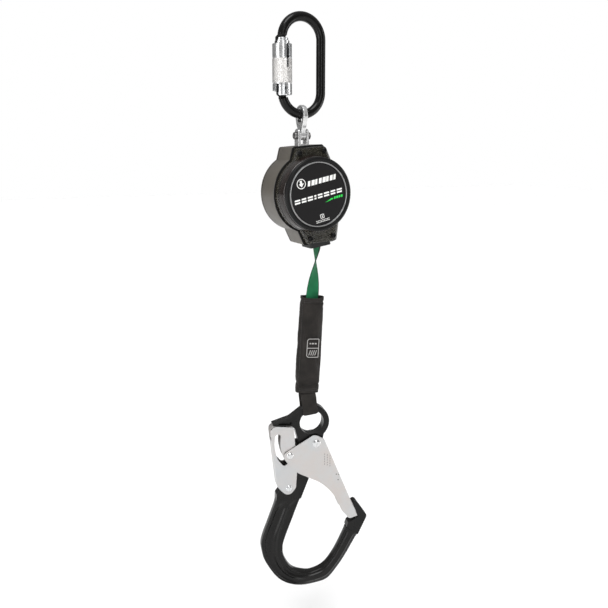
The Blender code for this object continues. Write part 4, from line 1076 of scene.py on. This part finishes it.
def hook_gate():
    edge_top, edge_low = Vector((19.8, -34.4)), Vector((59.0, -130.2))
    belly = smooth(((38.6, -120.8), (31.0, -103.4), (21.6, -90.2), (10.6, -79.9), (-4.0, -71.5),
                    (-16.4, -64.5), (-25.8, -55.9)), 6)
    cheek = fillet(((-34.2, -37.6, 5.0), (4.0, -16.2, 9.0), (15.4, -23.4, 6.0), tuple(edge_top),
                    tuple(edge_low), (48.6, -133.4, 4.5), *belly, (-33.8, -44.6, 3.0)), 8)
    gate = prism("gate_pressing", cheek, -GATE_FAR, GATE_FAR, [ZINC], place=HOOK)
    run = edge_low - edge_top
    inwards = Vector((run.y, -run.x)).normalized() * 1.5
    start, end = edge_top + inwards - run * 0.5, edge_low + inwards
    pocket = (tuple(start), tuple(end), (58.4, -150.0), (-60.0, -150.0), (-60.0, 40.0), (25.0, 40.0))
    above = ((12.0, 10.0), (40.0, 10.0), (40.0, -34.4), (12.0, -34.4))
    carve(gate, [prism("pocket", pocket, -GATE_NEAR, GATE_NEAR, place=HOOK),
                 prism("throat", above, -GATE_NEAR, GATE_NEAR, place=HOOK)])
    fit(soften(gate, 0.35, 3), "hook_gate", "hook_gate")


def band(path, half_width, cap_steps):
    sides = []
    for i, point in enumerate(path):
        along = Vector(path[min(i + 1, len(path) - 1)]) - Vector(path[max(i - 1, 0)])
        sides.append((Vector(point), along.normalized().orthogonal()))
    heading = math.degrees(math.atan2(sides[-1][1].y, sides[-1][1].x))
    start = math.degrees(math.atan2(-sides[0][1].y, -sides[0][1].x))
    outline = [tuple(p + n * half_width) for p, n in sides]
    outline += arc(path[-1], half_width, heading, heading - 180, cap_steps)[1:-1]
    outline += [tuple(p - n * half_width) for p, n in reversed(sides)]
    outline += arc(path[0], half_width, start, start - 180, cap_steps)[1:-1]
    return outline


def lock_lever():
    back_top, back_low = Vector((-49.6, -12.0)), Vector((-42.2, -80.0))
    cheek = fillet(((-44.4, -2.6, 6.0), (-21.6, -6.0, 3.5), (-17.8, -62.0), (-19.2, -84.0, 8.0),
                    (-28.2, -95.2, 7.0), (-37.6, -86.0, 5.0), tuple(back_low), tuple(back_top),
                    (-49.6, -7.0, 4.0)))
    path = smooth(((-41.0, -16.3), (-41.5, -28.0), (-38.5, -42.0), (-33.0, -50.0)))
    lever = prism("lever_pressing", cheek, -LEVER_FAR, LEVER_FAR, [ZINC], [band(path, 3.6, 14)], place=HOOK)
    run = back_low - back_top
    inwards = Vector((-run.y, run.x)).normalized() * 1.5
    web_top = back_top + run * 0.15
    pocket = (tuple(web_top + inwards), (-60.0, web_top.y), (-60.0, 20.0), (20.0, 20.0), (20.0, -110.0),
              (-60.0, -110.0), (-60.0, -79.0), tuple(back_low + inwards))
    carve(lever, [prism("lever_pocket", pocket, -LEVER_NEAR, LEVER_NEAR, place=HOOK)])
    fit(soften(lever, 0.35, 3), "lock_lever", "lock_lever")


def stamped_marks():
    """Small plain punch marks on the gate's cheek, flat dark steel that paints the shade of punched dents.
    """
    bars = [slanted(15.6 + 3.4 * i, -44.0 - 3.2 * k - 1.5 * i, 0.5, 1.9, 0.3)
            for i in range(3) for k in range(5)]
    dots = [circle(0.75, 12, at) for at in ((31.0, -71.0), (34.0, -71.6), (33.4, -78.6))]
    # painted shade: flat dark steel stands in for the shade inside the punched dents
    marks = [prism("mark", spot, -GATE_FAR - 0.03, -GATE_FAR + 0.1, [DARK_STEEL], place=HOOK)
             for spot in bars + dots]
    fit(join("punch_marks_painted_shade", marks), "hook_gate")


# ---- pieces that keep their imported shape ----

def keep_nodes():
    finishes = {
        DARK_STEEL: ["frame_plate_front", "frame_plate_rear", "frame_spacer_1", "frame_spacer_2",
                     "frame_spacer_3"],
        STEEL: ["yoke_pin", "guide_bar_left", "guide_bar_right", "main_shaft", "power_spring",
                "ratchet_ring", "pawl_carrier", "pawl_1", "pawl_2", "pawl_spring_1", "pawl_spring_2",
                "gate_spring", "lever_spring"],
        BRONZE: ["shaft_bushing_front", "shaft_bushing_rear"],
        SILVER_RING: ["webbing_drum"],
        BLACK_PLASTIC: ["spring_case"],
        GREEN_WEB: ["wound_webbing"],
    }
    for finish, names in finishes.items():
        for name in names:
            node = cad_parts[name]
            for holder in node.material_slots:
                holder.material = finish
            soften(node, 0.2, 2)


# ---- stage ----

def camera():
    lens = bpy.data.cameras.new("camera")
    lens.sensor_width = FILM
    lens.lens = FOCAL / PHOTO_SIDE * FILM
    lens.clip_start = 0.01
    view = bpy.data.objects.new("camera", lens)
    view.location = CAMERA_M
    view.rotation_euler = (math.radians(90 - CAMERA_DIP), 0, -math.radians(CAMERA_HEADING))
    bpy.context.scene.collection.objects.link(view)
    bpy.context.scene.camera = view


def softbox(name, place_m, aim_m, size_m, power, colour=(1, 1, 1)):
    lamp = bpy.data.lights.new(name, "AREA")
    lamp.shape = "RECTANGLE"
    lamp.size, lamp.size_y = size_m
    lamp.energy = power
    lamp.color = colour
    made = bpy.data.objects.new(name, lamp)
    made.location = place_m
    made.rotation_euler = (Vector(aim_m) - Vector(place_m)).to_track_quat("-Z", "Y").to_euler()
    bpy.context.scene.collection.objects.link(made)


def studio():
    """A white room: the camera sees plain white, and gloss sees a darker room with bright panels."""
    world = bpy.data.worlds.new("studio")
    bpy.context.scene.world = world
    world.use_nodes = True
    tree = world.node_tree
    seen = tree.nodes["Background"]
    seen.inputs[0].default_value = (1.0, 1.0, 1.0, 1.0)
    around = tree.nodes.new("ShaderNodeBackground")
    place = tree.nodes.new("ShaderNodeTexCoord")
    parts = tree.nodes.new("ShaderNodeSeparateXYZ")
    ramp = tree.nodes.new("ShaderNodeValToRGB")
    for stop, position, level in zip(ramp.color_ramp.elements, (0.0, 0.8), (0.16, 0.62)):
        stop.position, stop.color = position, grey(level)
    blend = tree.nodes.new("ShaderNodeMixShader")
    path = tree.nodes.new("ShaderNodeLightPath")
    for output, socket in (
            (place.outputs["Generated"], parts.inputs[0]), (parts.outputs["Z"], ramp.inputs[0]),
            (ramp.outputs[0], around.inputs[0]), (path.outputs["Is Camera Ray"], blend.inputs[0]),
            (around.outputs[0], blend.inputs[1]), (seen.outputs[0], blend.inputs[2]),
            (blend.outputs[0], tree.nodes["World Output"].inputs[0])):
        tree.links.new(output, socket)
    n = Nodes("pale_floor")
    n.set(Base_Color=n.mix(n.noise(3, 2), grey(0.94), grey(0.96)), Roughness=0.9, Specular_IOR_Level=0.1)
    corners = [(x * FLOOR_HALF, y * FLOOR_HALF, FLOOR_M / MM)
               for x, y in ((-1, -1), (1, -1), (1, 1), (-1, 1))]
    floor = mesh_object("floor", corners, [(0, 1, 2, 3)], [n.material])
    sun = bpy.data.lights.new("overhead", "SUN")
    sun.energy = 2.0
    sun.angle = math.radians(35)
    above = bpy.data.objects.new("overhead", sun)
    above.rotation_euler = Vector((0.45, 0.75, -1.6)).to_track_quat("-Z", "Y").to_euler()
    bpy.context.scene.collection.objects.link(above)
    aim = (0.0, 0.0, -0.33)
    softbox("strip_left", (-1.15, -0.25, -0.3), aim, (0.3, 1.3), 7)
    softbox("strip_front", (-0.25, -1.5, 0.1), aim, (0.18, 1.2), 4)
    softbox("strip_right", (1.2, -0.55, -0.2), aim, (0.25, 1.3), 5)
    bpy.context.scene.view_settings.view_transform = "Standard"


studio()
camera()
keep_nodes()
carabiner_body()
carabiner_gate()
carabiner_sleeve()
anchor_eye()
yoke()
rear_shell()
front_shell()
front_trim()
label_marks()
webbing_nozzle()
lifeline()
absorber()
web_loop()
hook_top()
hook_bowl()
hook_nose()
hook_gate()
lock_lever()
stamped_marks()
rivet("pivot_rivet", "gate_pivot_rivet", PIVOT, 4.9, GATE_FAR, "hook")
rivet("lock_rivet", "gate_lock_rivet", LOCK, 4.2, GATE_FAR, "hook_gate")
rivet("lever_rivet_head", "lever_rivet", LEVER_PIN, 4.1, LEVER_FAR, "hook")
